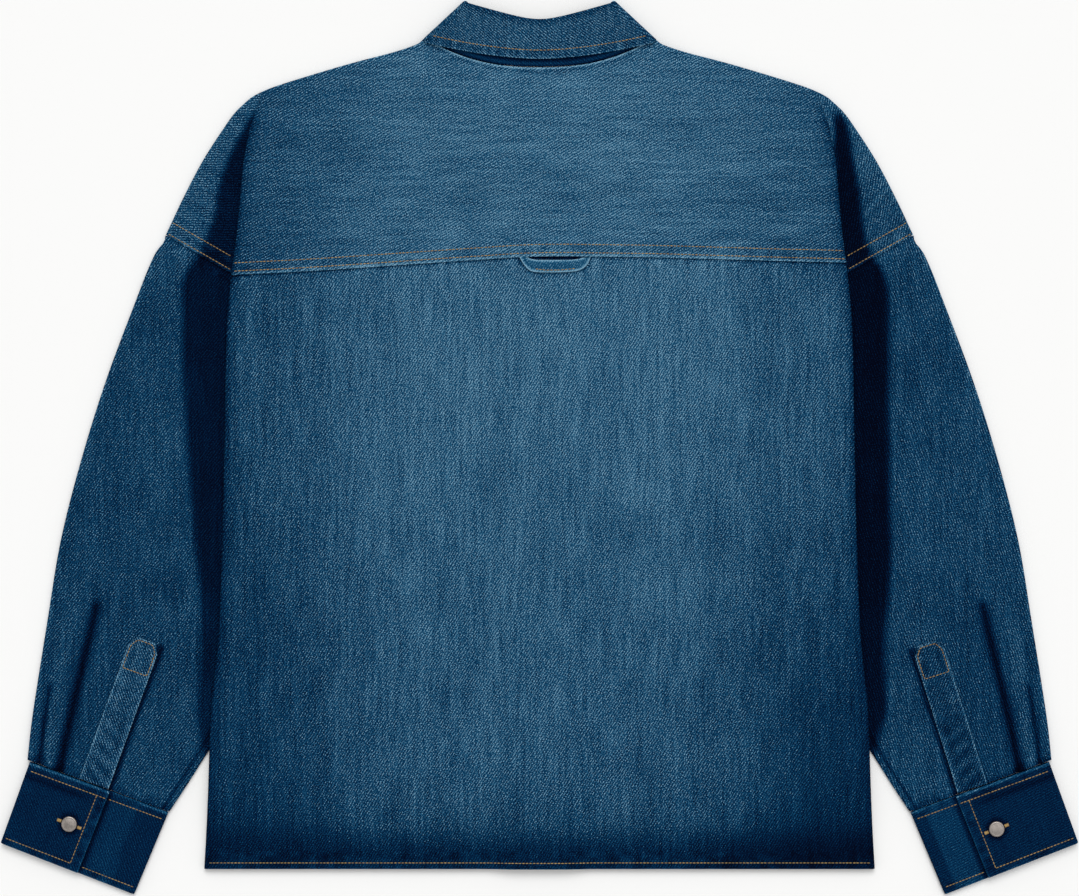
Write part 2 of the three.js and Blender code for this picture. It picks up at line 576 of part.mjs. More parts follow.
/** A place on the sleeve: length from armhole (0) to cuff (1), width from outer (0) to inner fold (1). */
function sleevePlace(length, width) {
  const outerY = mix(SLEEVE_TOP.y, CUFF_CORNERS.outerTop[1] + 1, length);
  const innerY = mix(UNDERARM_Y, CUFF_CORNERS.innerTop[1] + 1, length);
  const outerHalf = mix(SLEEVE_TOP.half, outerEdge(outerY) - OUTLINE_IN, smooth(0, SLEEVE_OPENS, length));
  const inner = { half: innerEdge(innerY) + SLEEVE_INNER_ROLL + DENIM / 2, y: innerY };
  const place = mixPoint({ half: outerHalf, y: outerY }, inner, width);
  const chord = mixPoint(SLEEVE_TOP, { half: innerEdge(UNDERARM_Y) + 1, y: UNDERARM_Y }, width);
  const seam = armholeSeam(width);
  const pull = (1 - length) ** 3;
  const clear = 2 * EDGE_GAP * pull;
  return {
    half: place.half + pull * (seam.half - chord.half) + clear * SLEEVE_CLEAR.x,
    y: place.y + pull * (seam.y - chord.y) - clear * SLEEVE_CLEAR.y,
  };
}

/** Middle level of the sleeve's upper layer, with the pleats above the cuff. */
function upperLevel(length, width, place) {
  const atCuff = smooth(AT_CUFF, 1, length);
  const lap = CUFF.upper + OVER_LAP.rise * smooth(OVER_LAP.none, OVER_LAP.full, width);
  let level = mix(sleeveLevel(place.half, place.y), lap, atCuff);
  if (width === 1) level = mix(FLOOR + 2 * SLEEVE_INNER_ROLL, CUFF.upper, atCuff);
  for (const { at, step, from } of PLEATS) {
    const rise = smooth(at - PLEAT_RIDGE.side, at - PLEAT_RIDGE.top, width);
    level += step * rise * smooth(at + PLEAT_EDGE, at, width) * smooth(from, from + PLEAT_GROWS, length);
  }
  return level;
}

function sleevePoint(sign, length, width) {
  const place = sleevePlace(length, width);
  return point(sign, place.half, place.y, upperLevel(length, width, place));
}

function sleeveRing(length, sign) {
  const lowerLevel = mix(FLOOR, CUFF.lower, smooth(UNDER_AT_CUFF, 1, length));
  const upper = SLEEVE_COLUMNS.map((width) => sleevePoint(sign, length, width));
  const lower = LOWER_COLUMNS.map((width) => {
    const place = sleevePlace(length, width);
    return point(sign, place.half, place.y, lowerLevel);
  });
  const [outer, inner] = [upper[0], upper[upper.length - 1]];
  const outward = new THREE.Vector2(sign * OUTER_FOLD_OUT.x, OUTER_FOLD_OUT.y).normalize();
  const innerTurn = halfTurn(inner.x, inner.y, inner.z, lowerLevel, -sign, 0, 3);
  const outerTurn = halfTurn(outer.x, outer.y, outer.z, lowerLevel, outward.x, outward.y).reverse();
  const ring = [...upper, ...innerTurn, ...lower, ...outerTurn];
  return [...ring, ring[0]];
}

for (const { name, sign } of SIDES) {
  const rows = SLEEVE_ROWS.map((length) => sleeveRing(length, sign));
  const tube = wall([sign < 0 ? rows.map((row) => row.reverse()) : rows], DENIM);
  addPiece(`sleeve_${name}`, tube, MATERIALS.sleeve);
}

// Sleeve plackets: pointed strips over the slit above each cuff, made from the sleeve's own points

const ONTO_SLEEVE = { start: [0.85, 0.45], small: 0.001, steps: 12 };

/** Where a place on the sleeve is in its length and width, found step by step. */
function onSleeve(half, y) {
  let [length, width] = ONTO_SLEEVE.start;
  const { small, steps } = ONTO_SLEEVE;
  for (let i = 0; i < steps; i++) {
    const here = sleevePlace(length, width);
    const alongStep = sleevePlace(length + small, width);
    const acrossStep = sleevePlace(length, width + small);
    const [a, b] = [(alongStep.half - here.half) / small, (acrossStep.half - here.half) / small];
    const [c, d] = [(alongStep.y - here.y) / small, (acrossStep.y - here.y) / small];
    const [e, f] = [half - here.half, y - here.y];
    const area = a * d - b * c;
    length += (e * d - b * f) / area;
    width += (a * f - e * c) / area;
  }
  return { length, width };
}

for (const { name, sign, foot, peak } of SIDES) {
  const axis = new THREE.Vector2(peak[0] - foot[0], peak[1] - foot[1]);
  const side = new THREE.Vector2(-axis.y, axis.x).normalize();
  const straight = 1 - PLACKET.peak / axis.length();
  const rows = [...shares(8).map((s) => s * straight), 1].map((along) => [-0.5, 0, 0.5].map((s) => {
    const width = PLACKET.width * s * (along === 1 ? PLACKET.peakWidth : 1);
    const half = foot[0] + axis.x * along + side.x * width;
    const y = foot[1] + axis.y * along + side.y * width;
    const found = onSleeve(half, y);
    const level = upperLevel(Math.min(1, found.length), found.width, { half, y });
    return point(sign, half, y, level + PLACKET.rise);
  }));
  const strip = wall([sign < 0 ? rows : rows.map((row) => row.reverse())], PLACKET.cloth);
  addPiece(`sleeve_placket_${name}`, strip, MATERIALS.sleeve);
}

// Cuffs: each is one band wound round flat, its buttonhole end on top of its button end

function cuffPlace(from, down) {
  const { outerTop, innerTop, outerBottom, innerBottom } = CUFF_CORNERS;
  const a = from / CUFF.width;
  return [0, 1].map((k) => {
    const top = mix(outerTop[k], innerTop[k], a);
    return mix(top, mix(outerBottom[k], innerBottom[k], a), down);
  });
}

function cuffSection(lapEdge) {
  const { lower, upper, lap, lapLength, width } = CUFF;
  const turn = (centre, from, to, side) => shares(6).map((share) => {
    const radius = (from - to) / 2;
    const out = Math.abs(radius) * Math.sin(Math.PI * share);
    return [centre + side * out, to + radius + radius * Math.cos(Math.PI * share)];
  });
  const outerCentre = (lap - lower) / 2 + CUFF_CLOTH / 2;
  const innerCentre = width - (upper - lower) / 2 - CUFF_CLOTH / 2;
  return [
    [lapEdge, lap], [mix(lapEdge, outerCentre, 0.5), lap],
    ...turn(outerCentre, lap, lower, -1), [width / 3, lower], [width * 2 / 3, lower],
    ...turn(innerCentre, lower, upper, 1),
    [mix(innerCentre, lapEdge, 0.5), upper], [lapEdge - lapLength, upper],
  ];
}

for (const { name, sign, lapEdge } of SIDES) {
  const section = cuffSection(lapEdge);
  const rows = shares(4).map((down) => section.map(([at, z]) => point(sign, ...cuffPlace(at, down), z)));
  const band = wall([sign > 0 ? rows.map((row) => row.reverse()) : rows], CUFF_CLOTH);
  addPiece(`cuff_${name}`, band, MATERIALS.trim);
}

// Collar: a stand sewn to the neck, and a fall that turns down over it, both pressed flat

const COLLAR_BACK = shares(10).map((s) => 2 * s - 1);
const COLLAR_FRONT = [0.12, 0.3, 0.5, 0.75, 1];

/** A full turn of the collar's ring, from the left front edge round the back to the right front edge. */
function collarRing(radius, backPlace, corner, frontPlace) {
  const back = COLLAR_BACK.map((s) => {
    const place = backPlace(Math.abs(s));
    return new THREE.Vector3(Math.sign(s) * place.half, place.y, COLLAR_MIDDLE + radius);
  });
  const sides = [-1, 1].map((sign) => [
    ...halfTurn(sign * corner.half, corner.y, COLLAR_MIDDLE + radius, COLLAR_MIDDLE - radius,
      sign * CORNER_OUT.x, CORNER_OUT.y, 6),
    ...[0, ...COLLAR_FRONT].map((f) => {
      const place = f ? frontPlace(f) : corner;
      return point(sign, place.half, place.y, COLLAR_MIDDLE - radius);
    }),
  ]);
  return [...sides[0].reverse(), ...back, ...sides[1]];
}

const curve = (middle, corner, power) => (s) => ({
  half: corner.half * s,
  y: mix(middle, corner.y, s ** power),
});
const rollBack = curve(ROLL_BACK, ROLL_CORNER, CURVES.roll);
const rollFront = (f) => ({
  half: mix(ROLL_CORNER.half, ROLL_FRONT.half, f),
  y: mix(ROLL_FRONT.y, ROLL_CORNER.y, (1 - f) ** CURVES.rollFront),
});

const standRows = [0, 0.33, 0.66, 1].map((up) => {
  const s = up * STAND_TOP;
  const corner = mixPoint(STAND_CORNER, ROLL_CORNER, s);
  const neckBack = (t) => ({
    half: STAND_CORNER.half * t,
    y: mix(NECK.back + NECK_GAPS.standBack, STAND_CORNER.y, t ** NECK.backCurve),
  });
  const neckFront = (f) => {
    const half = mix(STAND_CORNER.half, 1, f);
    const share = (half / STAND_CORNER.half) ** NECK.frontCurve;
    return { half, y: mix(NECK.front + NECK_GAPS.standFront, STAND_CORNER.y, share) };
  };
  return collarRing(STAND_RADIUS, (t) => mixPoint(neckBack(t), rollBack(t), s), corner,
    (f) => mixPoint(neckFront(f), rollFront(f), s));
});
addPiece('collar_stand', wall([standRows], COLLAR_CLOTH), MATERIALS.trim);

const FALL_ROLL = (FALL_RADIUS - STAND_RADIUS) / 2;
const FALL_DEPTH = 38;
const fallBack = curve(FALL_BACK, FALL_CORNER, CURVES.fall);
const fallFront = (f) => mixPoint(FALL_CORNER, LEAF_POINT, f ** CURVES.leaf);
const fallRing = (radius, s) => collarRing(radius, (t) => mixPoint(rollBack(t), fallBack(t), s),
  mixPoint(ROLL_CORNER, FALL_CORNER, s), (f) => mixPoint(rollFront(f), fallFront(f), s));
const fallRows = [
  ...[1, 0.66, 0.33, 0].map((s) => fallRing(FALL_RADIUS, s)),
  ...shares(3).slice(1).map((turn) => {
    const radius = STAND_RADIUS + FALL_ROLL + FALL_ROLL * Math.cos(Math.PI * turn);
    return fallRing(radius, -FALL_ROLL * Math.sin(Math.PI * turn) / FALL_DEPTH);
  }),
];
addPiece('collar_fall', wall([fallRows], COLLAR_CLOTH), MATERIALS.trim);

// Locker loop on the back panel, its ends at the yoke seam

const backAt = (x, y) => backLevel(Math.abs(x), y, bodyEdge(y), 0);
const loopRows = LOOP.map(({ outerX, outerY, innerX, innerY }) => [0, 0.5, 1].map((share) => {
  const [x, y] = [mix(outerX, innerX, share), mix(outerY, innerY, share)];
  return new THREE.Vector3(x, y, backAt(x, y) + RISE_ON_SEAM);
}));
addPiece('locker_loop', wall([loopRows], DENIM), MATERIALS.body);

// Buttons: low domed metal discs

function button(name, x, y, bottom) {
  const { radius, thick, dome, flat } = BUTTON;
  const profile = [
    [0, 0], [radius, 0], [radius, thick - 2 * dome], [radius * flat, thick - dome / 2], [0, thick],
  ].map(([r, z]) => new THREE.Vector2(r, z));
  const geometry = new THREE.LatheGeometry(profile, 12);
  geometry.rotateX(Math.PI / 2);
  geometry.translate(x, y, bottom);
  addPiece(name, geometry, MATERIALS.metal);
}

for (const { name, sign, lapEdge } of SIDES) {
  const [half, y] = cuffPlace(lapEdge - BUTTON_FROM_LAP, BUTTON_DOWN);
  button(`cuff_button_${name}`, sign * half, y, CUFF.lap + CUFF_CLOTH / 2 + EDGE_GAP);
}
for (let i = 0; i < FRONT_BUTTONS; i++) {
  button(`front_button_${i + 1}`, 0, mix(FIRST_BUTTON_Y, LAST_BUTTON_Y, i / (FRONT_BUTTONS - 1)), 0);
}
button('collar_button', 0, COLLAR_BUTTON_Y, COLLAR_BUTTON_LEVEL);

export default shirt;
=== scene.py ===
import math
import random
from functools import cache

import bmesh
import bpy
from mathutils import Matrix, Vector
from mathutils.bvhtree import BVHTree


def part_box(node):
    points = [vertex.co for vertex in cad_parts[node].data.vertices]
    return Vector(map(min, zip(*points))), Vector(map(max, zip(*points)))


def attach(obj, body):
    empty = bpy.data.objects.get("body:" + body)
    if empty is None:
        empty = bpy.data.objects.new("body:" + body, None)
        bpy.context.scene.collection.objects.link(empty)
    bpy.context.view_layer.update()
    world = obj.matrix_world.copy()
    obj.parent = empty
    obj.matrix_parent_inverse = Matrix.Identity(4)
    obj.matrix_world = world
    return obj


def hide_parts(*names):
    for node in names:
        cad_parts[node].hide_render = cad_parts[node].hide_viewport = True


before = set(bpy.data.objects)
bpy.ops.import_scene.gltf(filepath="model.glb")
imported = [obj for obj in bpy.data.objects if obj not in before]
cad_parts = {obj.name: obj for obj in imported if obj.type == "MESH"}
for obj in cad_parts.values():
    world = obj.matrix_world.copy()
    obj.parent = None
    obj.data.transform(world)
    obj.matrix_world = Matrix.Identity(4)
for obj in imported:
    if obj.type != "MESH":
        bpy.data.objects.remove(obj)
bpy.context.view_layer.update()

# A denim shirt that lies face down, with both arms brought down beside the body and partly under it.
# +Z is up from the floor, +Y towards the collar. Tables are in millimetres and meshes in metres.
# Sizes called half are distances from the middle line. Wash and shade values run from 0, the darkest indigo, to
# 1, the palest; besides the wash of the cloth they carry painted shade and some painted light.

bl_info = {
    "name": "Denim shirt",
    "version": (1, 0, 0),
    "blender": (4, 5, 0),
    "location": "3D View > Sidebar > Shirt",
    "description": "Makes a denim shirt laid flat on its face, piece by piece",
    "category": "Object",
}

MM = 0.001

# Sizes of the solids

DENIM = 1.2
FLOOR = DENIM / 2
EDGE_GAP = 0.3
SLEEVE_LEVEL = 2.2
CREST = 3.3
CREST_SLOPE = 42
VALLEY = 6
OVER_SLEEVE = 3.4
SLEEVE_NEAR = 24
SLEEVE_SIDE = 54
SLEEVE_BEGINS = (95, 59)
OVER_COLLAR = 3
LEAF_NEAR = 12
LEAF_SIDE = 38
OVER_BUTTONS = 3.3
BAND_NEAR = 20
BAND_SIDE = 50
BAND_BEGINS = (335, 300)
BAND_SLOPE = 34
AIR = 4.4
AIR_AT_TOP = 2.4
AIR_DEPTH = 45
EDGE_SLOPE = 60
EDGE_ROLL = 2.2
HIDDEN_ROLL = 0.9
SHOULDER_ROLL = 1.3
SLEEVE_INNER_ROLL = 0.8
PLEAT_OPENS = 0.35
PLEAT_START = (249, 318.6)
PLEAT_ROUNDS = 0.25
PLEAT_SETTLES = 0.1
PLEAT_SPREAD = 10
SHOULDER_FLAT_Y = 312
HEM_Y = -378.2
YOKE_HALF = 276.3
SLEEVE_TOP = (334.3, 191)
ARMHOLE_TURN = (262.5, 150)
UNDERARM_Y = 43
YOKE_FRONT_DEPTH = 35
CORNER_SEAM = (0.75, 0.95)

# Lines as (y, half), apart from the shoulder as (half, y) and the yoke seam as (x, y)
BODY_EDGE = (
    (318, 249.5), (300, 255.5), (281, 261), (257, 266), (228, 268.8), (196, 271.8), (160, 276.3),
    (108, 280.8), (0, 283), (-85, 285), (-170, 288.6), (-235, 294.9), (-317, 298), (-378.2, 301.4),
)
OUTER_EDGE = (
    (314, 261), (304, 271.8), (295, 279), (259, 302.4), (223, 321.3), (194, 335), (169, 348.3),
    (133, 362.7), (61, 389.7), (-11, 412.2), (-83, 430.5), (-155, 442.5), (-227, 453.6), (-282.6, 459.5),
)
INNER_EDGE = (
    (43, 267), (20, 265), (-20, 259), (-80, 250), (-140, 246), (-190, 256), (-235, 276), (-272, 297.5),
    (-327.2, 333.5),
)
SHOULDER = (
    (101.5, 367.6), (109, 363.3), (124, 358), (166, 347), (203, 336.2), (237, 325.4), (251, 319.8),
    (261, 314), (271.8, 304), (279, 295),
)
YOKE_SEAM = ((-276, 156.3), (-197, 160.7), (-53, 170.3), (0, 173), (91, 172.6), (145, 171.2), (276, 167.4))
TURNED_UNDER = ((157, 14), (43, 15), (-378.2, 7))

COLLAR_CLOTH = 2
COLLAR_MIDDLE = 4.8
STAND_RADIUS = 1.2
FALL_RADIUS = 3.7
NECK_HALF = 101.5
NECK_SIDE_Y = 367.6
NECK_BACK = (342, 2.4)
NECK_FRONT = (288, 2.2)
STAND_CORNER = (99.8, 367.8)
ROLL_CORNER = (65.5, 397.5)
ROLL_BACK = 383
ROLL_FRONT = (2, 320)
FALL_CORNER = (101.8, 363.6)
CORNER_OUT = (0.66, 0.75)
STAND_TOP = 0.92
ROLL_ROUND = 0.28
FALL_POWER = 1.7
FALL_BACK = 349.2
FALL_DEPTH = 38
LEAF_POINT = (58, 258)

BAND_CLOTH = 2
BUTTONHOLE_BAND = (-15, 15, 3.4)
BUTTON_BAND = (-12, 18, 5.8)
FRONT_BUTTONS = (262, 154.6, 47.2, -60.2, -167.6, -275)

CUFF_CLOTH = 2.2
CUFF_LEVELS = (1.1, 3.7, 6.3)
CUFF_LAP = 24
CUFF_WIDTH = 132
CUFF_HEIGHT = 78
CUFF_CORNERS = ((458, -281.8), (333.5, -327.2), (484.2, -354.6), (364.5, -401.2))
BUTTON_FROM_LAP = 23.3
BUTTON_DOWN = 0.51
PLACKET_WIDTH = 27.5
PLACKET_CLOTH = 1.6
PLACKET_RISE = 2.1
SIDES = {
    "left": {"sign": -1, "lap": 76.6, "foot": (400, -301.5), "peak": (352.8, -172.5),
             "placket_wash": 0.44, "under_lap_wash": 0.30},
    "right": {"sign": 1, "lap": 89.4, "foot": (388.6, -305.5), "peak": (347.4, -175.5),
              "placket_wash": 0.34, "under_lap_wash": 0.354},
}
PLEATS = ((0.055, 1, 0.8), (0.205, 1.5, 0.62))
PLEAT_EDGE = 0.016

LOOP = (
    (-18.2, 171.4, -10.5, 170.8), (-13.5, 164, -6.5, 169.2), (-8, 159, -2, 168.7), (2, 157.5, 6, 168.6),
    (26.5, 158, 24, 168.6), (37, 160.2, 31, 169), (43, 165, 35.5, 169.6), (46, 171.2, 39, 170.8),
)

# What only the looks have

LAP = 1.2          # how far a felled edge reaches over the next piece
LAP_RISE = 1.28    # how much higher it lies there
FELL = 13.5        # width of a felled seam
HEM_WIDTH = 7.5
HEM_RISE = 0.35

# Creases of the upper side as (x, y) of both ends, bend sideways, height (minus is a trough), width
BACK_CREASES = (
    (-9, 186, 0, 199, 1, 0.7, 2.2), (8, 184, 20, 198, 2, 0.75, 2.4), (26, 183, 41, 194, 2, 0.6, 2.2),
    (1, 184, 9, 196, 1, -0.5, 2.2), (17, 184, 30, 196, 2, -0.5, 2.2), (-212, 148, -196, 60, 6, -0.5, 7),
    (-236, 120, -226, -40, -5, 0.55, 8), (-120, 150, -96, 40, 9, 0.4, 10), (60, 150, 74, 20, -8, 0.4, 11),
    (160, 155, 150, 30, 7, -0.4, 9), (238, 130, 228, 10, 6, 0.55, 8), (216, 140, 200, 60, -5, -0.4, 7),
    (-30, -40, -18, -190, 6, -0.4, 12), (110, -60, 128, -230, -9, 0.45, 12),
    (-180, -80, -196, -260, 8, -0.45, 11), (-250, -120, -256, -300, 4, 0.5, 8),
    (246, -90, 258, -290, -4, 0.5, 8), (-90, -250, -70, -345, 3, 0.45, 8),
    (30, -260, 22, -350, -3, -0.4, 8), (190, -250, 206, -345, 4, -0.45, 8),
    (-232, 300, -150, 250, 8, -0.45, 8), (232, 300, 150, 246, -8, -0.4, 8),
    (-245, 268, -170, 215, 9, 0.4, 9), (242, 262, 172, 214, -8, 0.4, 9), (-80, 330, -30, 318, 3, 0.35, 6),
    (40, 326, 90, 334, -3, 0.35, 6),
)
# Creases of the sleeves as (half, y) of both ends, bend, height, width
SLEEVE_CREASES = {
    "left": (
        (352, -214, 358, -268, 1, 0.8, 4), (327, -222, 341, -284, 2, 0.7, 5),
        (372, -60, 380, -150, 4, -0.7, 9), (409, -98, 413, -184, 2, -1.0, 5),
        (335, -60, 322, -160, -6, 0.8, 10), (318, 60, 330, -30, 7, -0.7, 9), (352, 110, 362, 20, 5, 0.7, 9),
        (300, -60, 306, -170, 4, 0.6, 8), (372, 60, 392, -20, -4, 0.6, 8),
        (345, -120, 336, -176, -3, -0.6, 6), (430, -150, 438, -236, 2, 0.7, 5),
        (302, -196, 326, -262, 3, -0.6, 5), (395, -236, 402, -290, 1, -0.7, 4),
        (315, 140, 305, 90, -3, -0.5, 6), (410, -20, 424, -90, 3, -0.5, 7),
    ),
    "right": (
        (352, -216, 360, -270, 1, 0.8, 4), (330, -224, 342, -286, 2, 0.7, 5),
        (378, -50, 384, -150, 4, -0.7, 9), (412, -104, 415, -180, 2, -1.0, 5),
        (330, -70, 318, -164, -6, 0.8, 10), (322, 70, 332, -20, 7, -0.7, 9), (356, 116, 368, 24, 5, 0.7, 9),
        (304, -50, 308, -160, 4, 0.6, 8), (376, 50, 398, -30, -4, 0.6, 8),
        (350, -116, 340, -172, -3, -0.6, 6), (432, -146, 440, -230, 2, 0.7, 5),
        (304, -200, 328, -264, 3, -0.6, 5), (402, -232, 408, -288, 1, -0.7, 4),
        (318, 136, 308, 88, -3, -0.5, 6), (412, -26, 428, -96, 3, -0.5, 7),
    ),
}
# The same on the hidden front, drawn on the side that lies down
FRONT_CREASES = (
    (-200, 120, -120, 40, 8, 0.5, 10), (200, 130, 110, 50, -8, 0.5, 10), (-120, -60, -90, -240, 8, 0.5, 12),
    (120, -40, 100, -220, -9, 0.5, 12), (-210, -150, -200, -320, 6, 0.4, 10),
    (205, -140, 220, -310, -6, 0.4, 10),
)


# Helpers

def mix(a, b, share):
    return a + (b - a) * share


def mix_point(a, b, share):
    return tuple(mix(p, q, share) for p, q in zip(a, b))


def clamp(value, low=0.0, high=1.0):
    return max(low, min(high, value))


def smooth(start, stop, value):
    share = clamp((value - start) / (stop - start))
    return share * share * (3 - 2 * share)


def shares(count):
    return [i / count for i in range(count + 1)]


def through(rows):
    """A smooth curve through pairs of a place and its value."""
    rows = sorted(rows)
    last = len(rows) - 1

    def slope(i, j):
        return (rows[j][1] - rows[i][1]) / (rows[j][0] - rows[i][0])

    def value(at):
        i = 0
        while i < last - 1 and rows[i + 1][0] <= at:
            i += 1
        (start, low), (stop, high) = rows[i], rows[i + 1]
        s = (at - start) / (stop - start)
        if s < 0 or s > 1:
            return mix(low, high, s)
        a = slope(max(0, i - 1), i + 1) * (stop - start)
        b = slope(i, min(last, i + 2)) * (stop - start)
        rise = high - low
        return low + s * (a + s * (3 * rise - 2 * a - b + s * (a + b - 2 * rise)))

    return cache(value)


body_edge = through(BODY_EDGE)
outer_edge = through(OUTER_EDGE)
inner_edge = through(INNER_EDGE)
shoulder_y = through(SHOULDER)
yoke_seam = through(YOKE_SEAM)
turned_under = through(TURNED_UNDER)


def seam_half(y):
    return body_edge(y) - turned_under(y)


def creased(x, y, creases):
    """Height that the creases of a table give a place, each fading out to its ends and sides."""
    height = 0
    for ax, ay, bx, by, bend, depth, width in creases:
        dx, dy = bx - ax, by - ay
        length = math.hypot(dx, dy)
        along = ((x - ax) * dx + (y - ay) * dy) / length ** 2
        if -0.1 < along < 1.1:
            side = ((y - ay) * dx - (x - ax) * dy) / length - bend * 4 * along * (1 - along)
            if abs(side) < 3 * width:
                fade = smooth(-0.1, 0.35, along) * smooth(1.1, 0.65, along)
                height += depth * fade * math.exp(-(side / width) ** 2)
    return height


def half_turn(x, y, upper, lower, dx, dy, count=8):
    """Points of a half turn from one level down to another, bulging along (dx, dy), without its ends."""
    radius = (upper - lower) / 2
    points = []
    for share in shares(count)[1:-1]:
        out = radius * math.sin(math.pi * share)
        points.append((x + dx * out, y + dy * out, lower + radius + radius * math.cos(math.pi * share)))
    return points


# Levels of the layers

LEAVES = (
    (0, 256), (LEAF_POINT[0], 256), (FALL_CORNER[0] + 4, 368), (ROLL_CORNER[0] + 2, 402), (0, 402),
)


def from_line(x, y, line):
    """Distance from a place to a line of points."""
    nearest = 1e9
    for (ax, ay), (bx, by) in zip(line, line[1:]):
        length = (bx - ax) ** 2 + (by - ay) ** 2
        share = clamp(((x - ax) * (bx - ax) + (y - ay) * (by - ay)) / length)
        nearest = min(nearest, math.hypot(x - mix(ax, bx, share), y - mix(ay, by, share)))
    return nearest


def from_leaves(half, y):
    sides = [(bx - ax) * (y - ay) - (by - ay) * (half - ax) for (ax, ay), (bx, by) in zip(LEAVES, LEAVES[1:])]
    return 0 if min(sides) >= 0 else from_line(half, y, LEAVES)


def rest_level(half, y):
    sleeve_from = seam_half(y) if y > UNDERARM_Y else inner_edge(y)
    sleeve = OVER_SLEEVE * smooth(SLEEVE_SIDE, SLEEVE_NEAR, sleeve_from - half) * smooth(*SLEEVE_BEGINS, y)
    if y < 200:
        return FLOOR + sleeve
    return FLOOR + max(sleeve, OVER_COLLAR * smooth(LEAF_SIDE, LEAF_NEAR, from_leaves(half, y)))


def front_level(half, y):
    lift = OVER_BUTTONS * smooth(BAND_SIDE, BAND_NEAR, half) * smooth(*BAND_BEGINS, y)
    return max(rest_level(half, y), FLOOR + lift)


def turned_level(y):
    from_sleeve = inner_edge(min(y, UNDERARM_Y)) - body_edge(y)
    return FLOOR + OVER_SLEEVE * smooth(SLEEVE_SIDE, SLEEVE_NEAR, from_sleeve)


def neck_y(half, neck):
    middle, power = neck
    return mix(middle, NECK_SIDE_Y, min(1, half / NECK_HALF) ** power)


def top_y(half):
    return neck_y(half, NECK_BACK) if half < NECK_HALF else shoulder_y(half)


def back_level(half, y, edge_half, edge_level):
    air = mix(AIR_AT_TOP, AIR, smooth(0, AIR_DEPTH, top_y(half) - y))
    return mix(front_level(half, y) + air, edge_level, smooth(EDGE_SLOPE, 0, edge_half - half))


def sleeve_level(half, y):
    from_outer = smooth(0, CREST_SLOPE, outer_edge(y) - half)
    from_body = smooth(VALLEY, VALLEY + CREST_SLOPE, half - body_edge(y))
    outer_rise = FLOOR + 2 * SHOULDER_ROLL - SLEEVE_LEVEL
    return SLEEVE_LEVEL + outer_rise * (1 - from_outer) + CREST * from_body * from_outer


# Wash and painted shade of the cloth

# Tone down the middle, darker towards the hem; how much painted shade darkens the sides, where the back rounds
# away; and how far the painted shade of the valley beside the body reaches, all as (y, value)
MIDDLE_WASH = through((
    (345, 0.645), (160, 0.65), (60, 0.65), (-120, 0.59), (-236, 0.54), (-300, 0.505), (-335, 0.435),
    (-352, 0.30), (-366, 0.18), (-379, 0.20),
))
SIDE_DARKER = {
    -1: through(((345, 0.175), (0, 0.19), (-300, 0.19), (-345, 0.16), (-366, 0.03), (-379, 0.02))),
    1: through((
        (345, 0.12), (0, 0.125), (-120, 0.165), (-236, 0.23), (-345, 0.22), (-366, 0.16), (-379, 0.14),
    )),
}
VALLEY_REACH = {
    -1: through((
        (305, 0), (290, 5), (277, 9), (250, 16), (232, 20), (214, 20.5), (196, 24), (178, 29), (151, 42),
        (115, 39), (70, 38), (25, 34.5), (-29, 30), (-83, 24), (-128, 18), (-173, 15.5), (-236, 12),
        (-262, 8),
    )),
    1: through((
        (308, 6), (299, 15), (290, 17), (277, 17), (263, 15.5), (232, 18), (196, 19), (178, 21), (151, 33),
        (115, 33), (70, 31), (-29, 30), (-83, 30), (-128, 27), (-173, 21), (-209, 18), (-236, 16),
        (-262, 8),
    )),
}
# Painted shade of the valley: its tone on each side, the level below which a sleeve's lower layer gets none, and
# on the right side how far from the body it begins, as (y, distance)
VALLEY_SHADE = {-1: 0.08, 1: -0.02}
LOWER_LAYER = 1.6
VALLEY_BEGINS = through(((310, 17), (299, 11), (291, 8), (277, 4), (263, 1), (250, 0), (-400, 0)))
SLEEVE_WASH = through((
    (320, 0.51), (250, 0.49), (200, 0.45), (150, 0.395), (0, 0.385), (-120, 0.38), (-200, 0.35),
    (-320, 0.335),
))


def body_wash_and_shade(x, y):
    """The body is palest in its middle and yoke, and darker towards the hem, with painted shade at the sides,
    where the back rounds away, and along its folded side edges.
    """
    sign = 1 if x > 0 else -1
    wash_and_shade = MIDDLE_WASH(y) - SIDE_DARKER[sign](y) * smooth(110, 265, abs(x))
    from_edge = max(0, body_edge(min(y, 318)) - abs(x))
    # Painted shade along the folded side edges of the body, below the shoulders
    return wash_and_shade * (1 - 0.55 * math.exp(-from_edge / 5.5) * smooth(316, 290, y))


def sleeve_wash_and_shade(x, y, z):
    """A sleeve has painted shade in the valley beside the body, and an even tone on its lower layer."""
    if z < LOWER_LAYER:
        return SLEEVE_WASH(y)
    sign = 1 if x > 0 else -1
    half = abs(x)
    # Painted shade in the valley beside the body, out to each side's reach; on the right near the shoulder it
    # begins some way out
    reach = VALLEY_REACH[sign](min(y, 308))
    valley = smooth(reach + 5, reach - 4, half - body_edge(min(y, 318)))
    if y > 250 and sign > 0:
        begins = VALLEY_BEGINS(min(y, 310))
        valley *= smooth(begins - 3, begins + 2, half - body_edge(min(y, 318)))
    if y > 306:
        valley *= smooth(311, 306, y)
    rim = smooth(6, 1, outer_edge(y) - half)
    return mix(SLEEVE_WASH(y) + 0.06 * rim, VALLEY_SHADE[sign], valley)


# Cloth and its material

MARKS = ("wash_and_shade", "from_seam", "from_edge")    # what each place of a cloth keeps for its material
TWILL_DEPTH = 0.00016
PUCKER_DEPTH = 0.0022


def materials_root(name):
    material = bpy.data.materials.new(name)
    material.use_nodes = True
    tree = material.node_tree
    return material, tree, tree.nodes["Principled BSDF"]


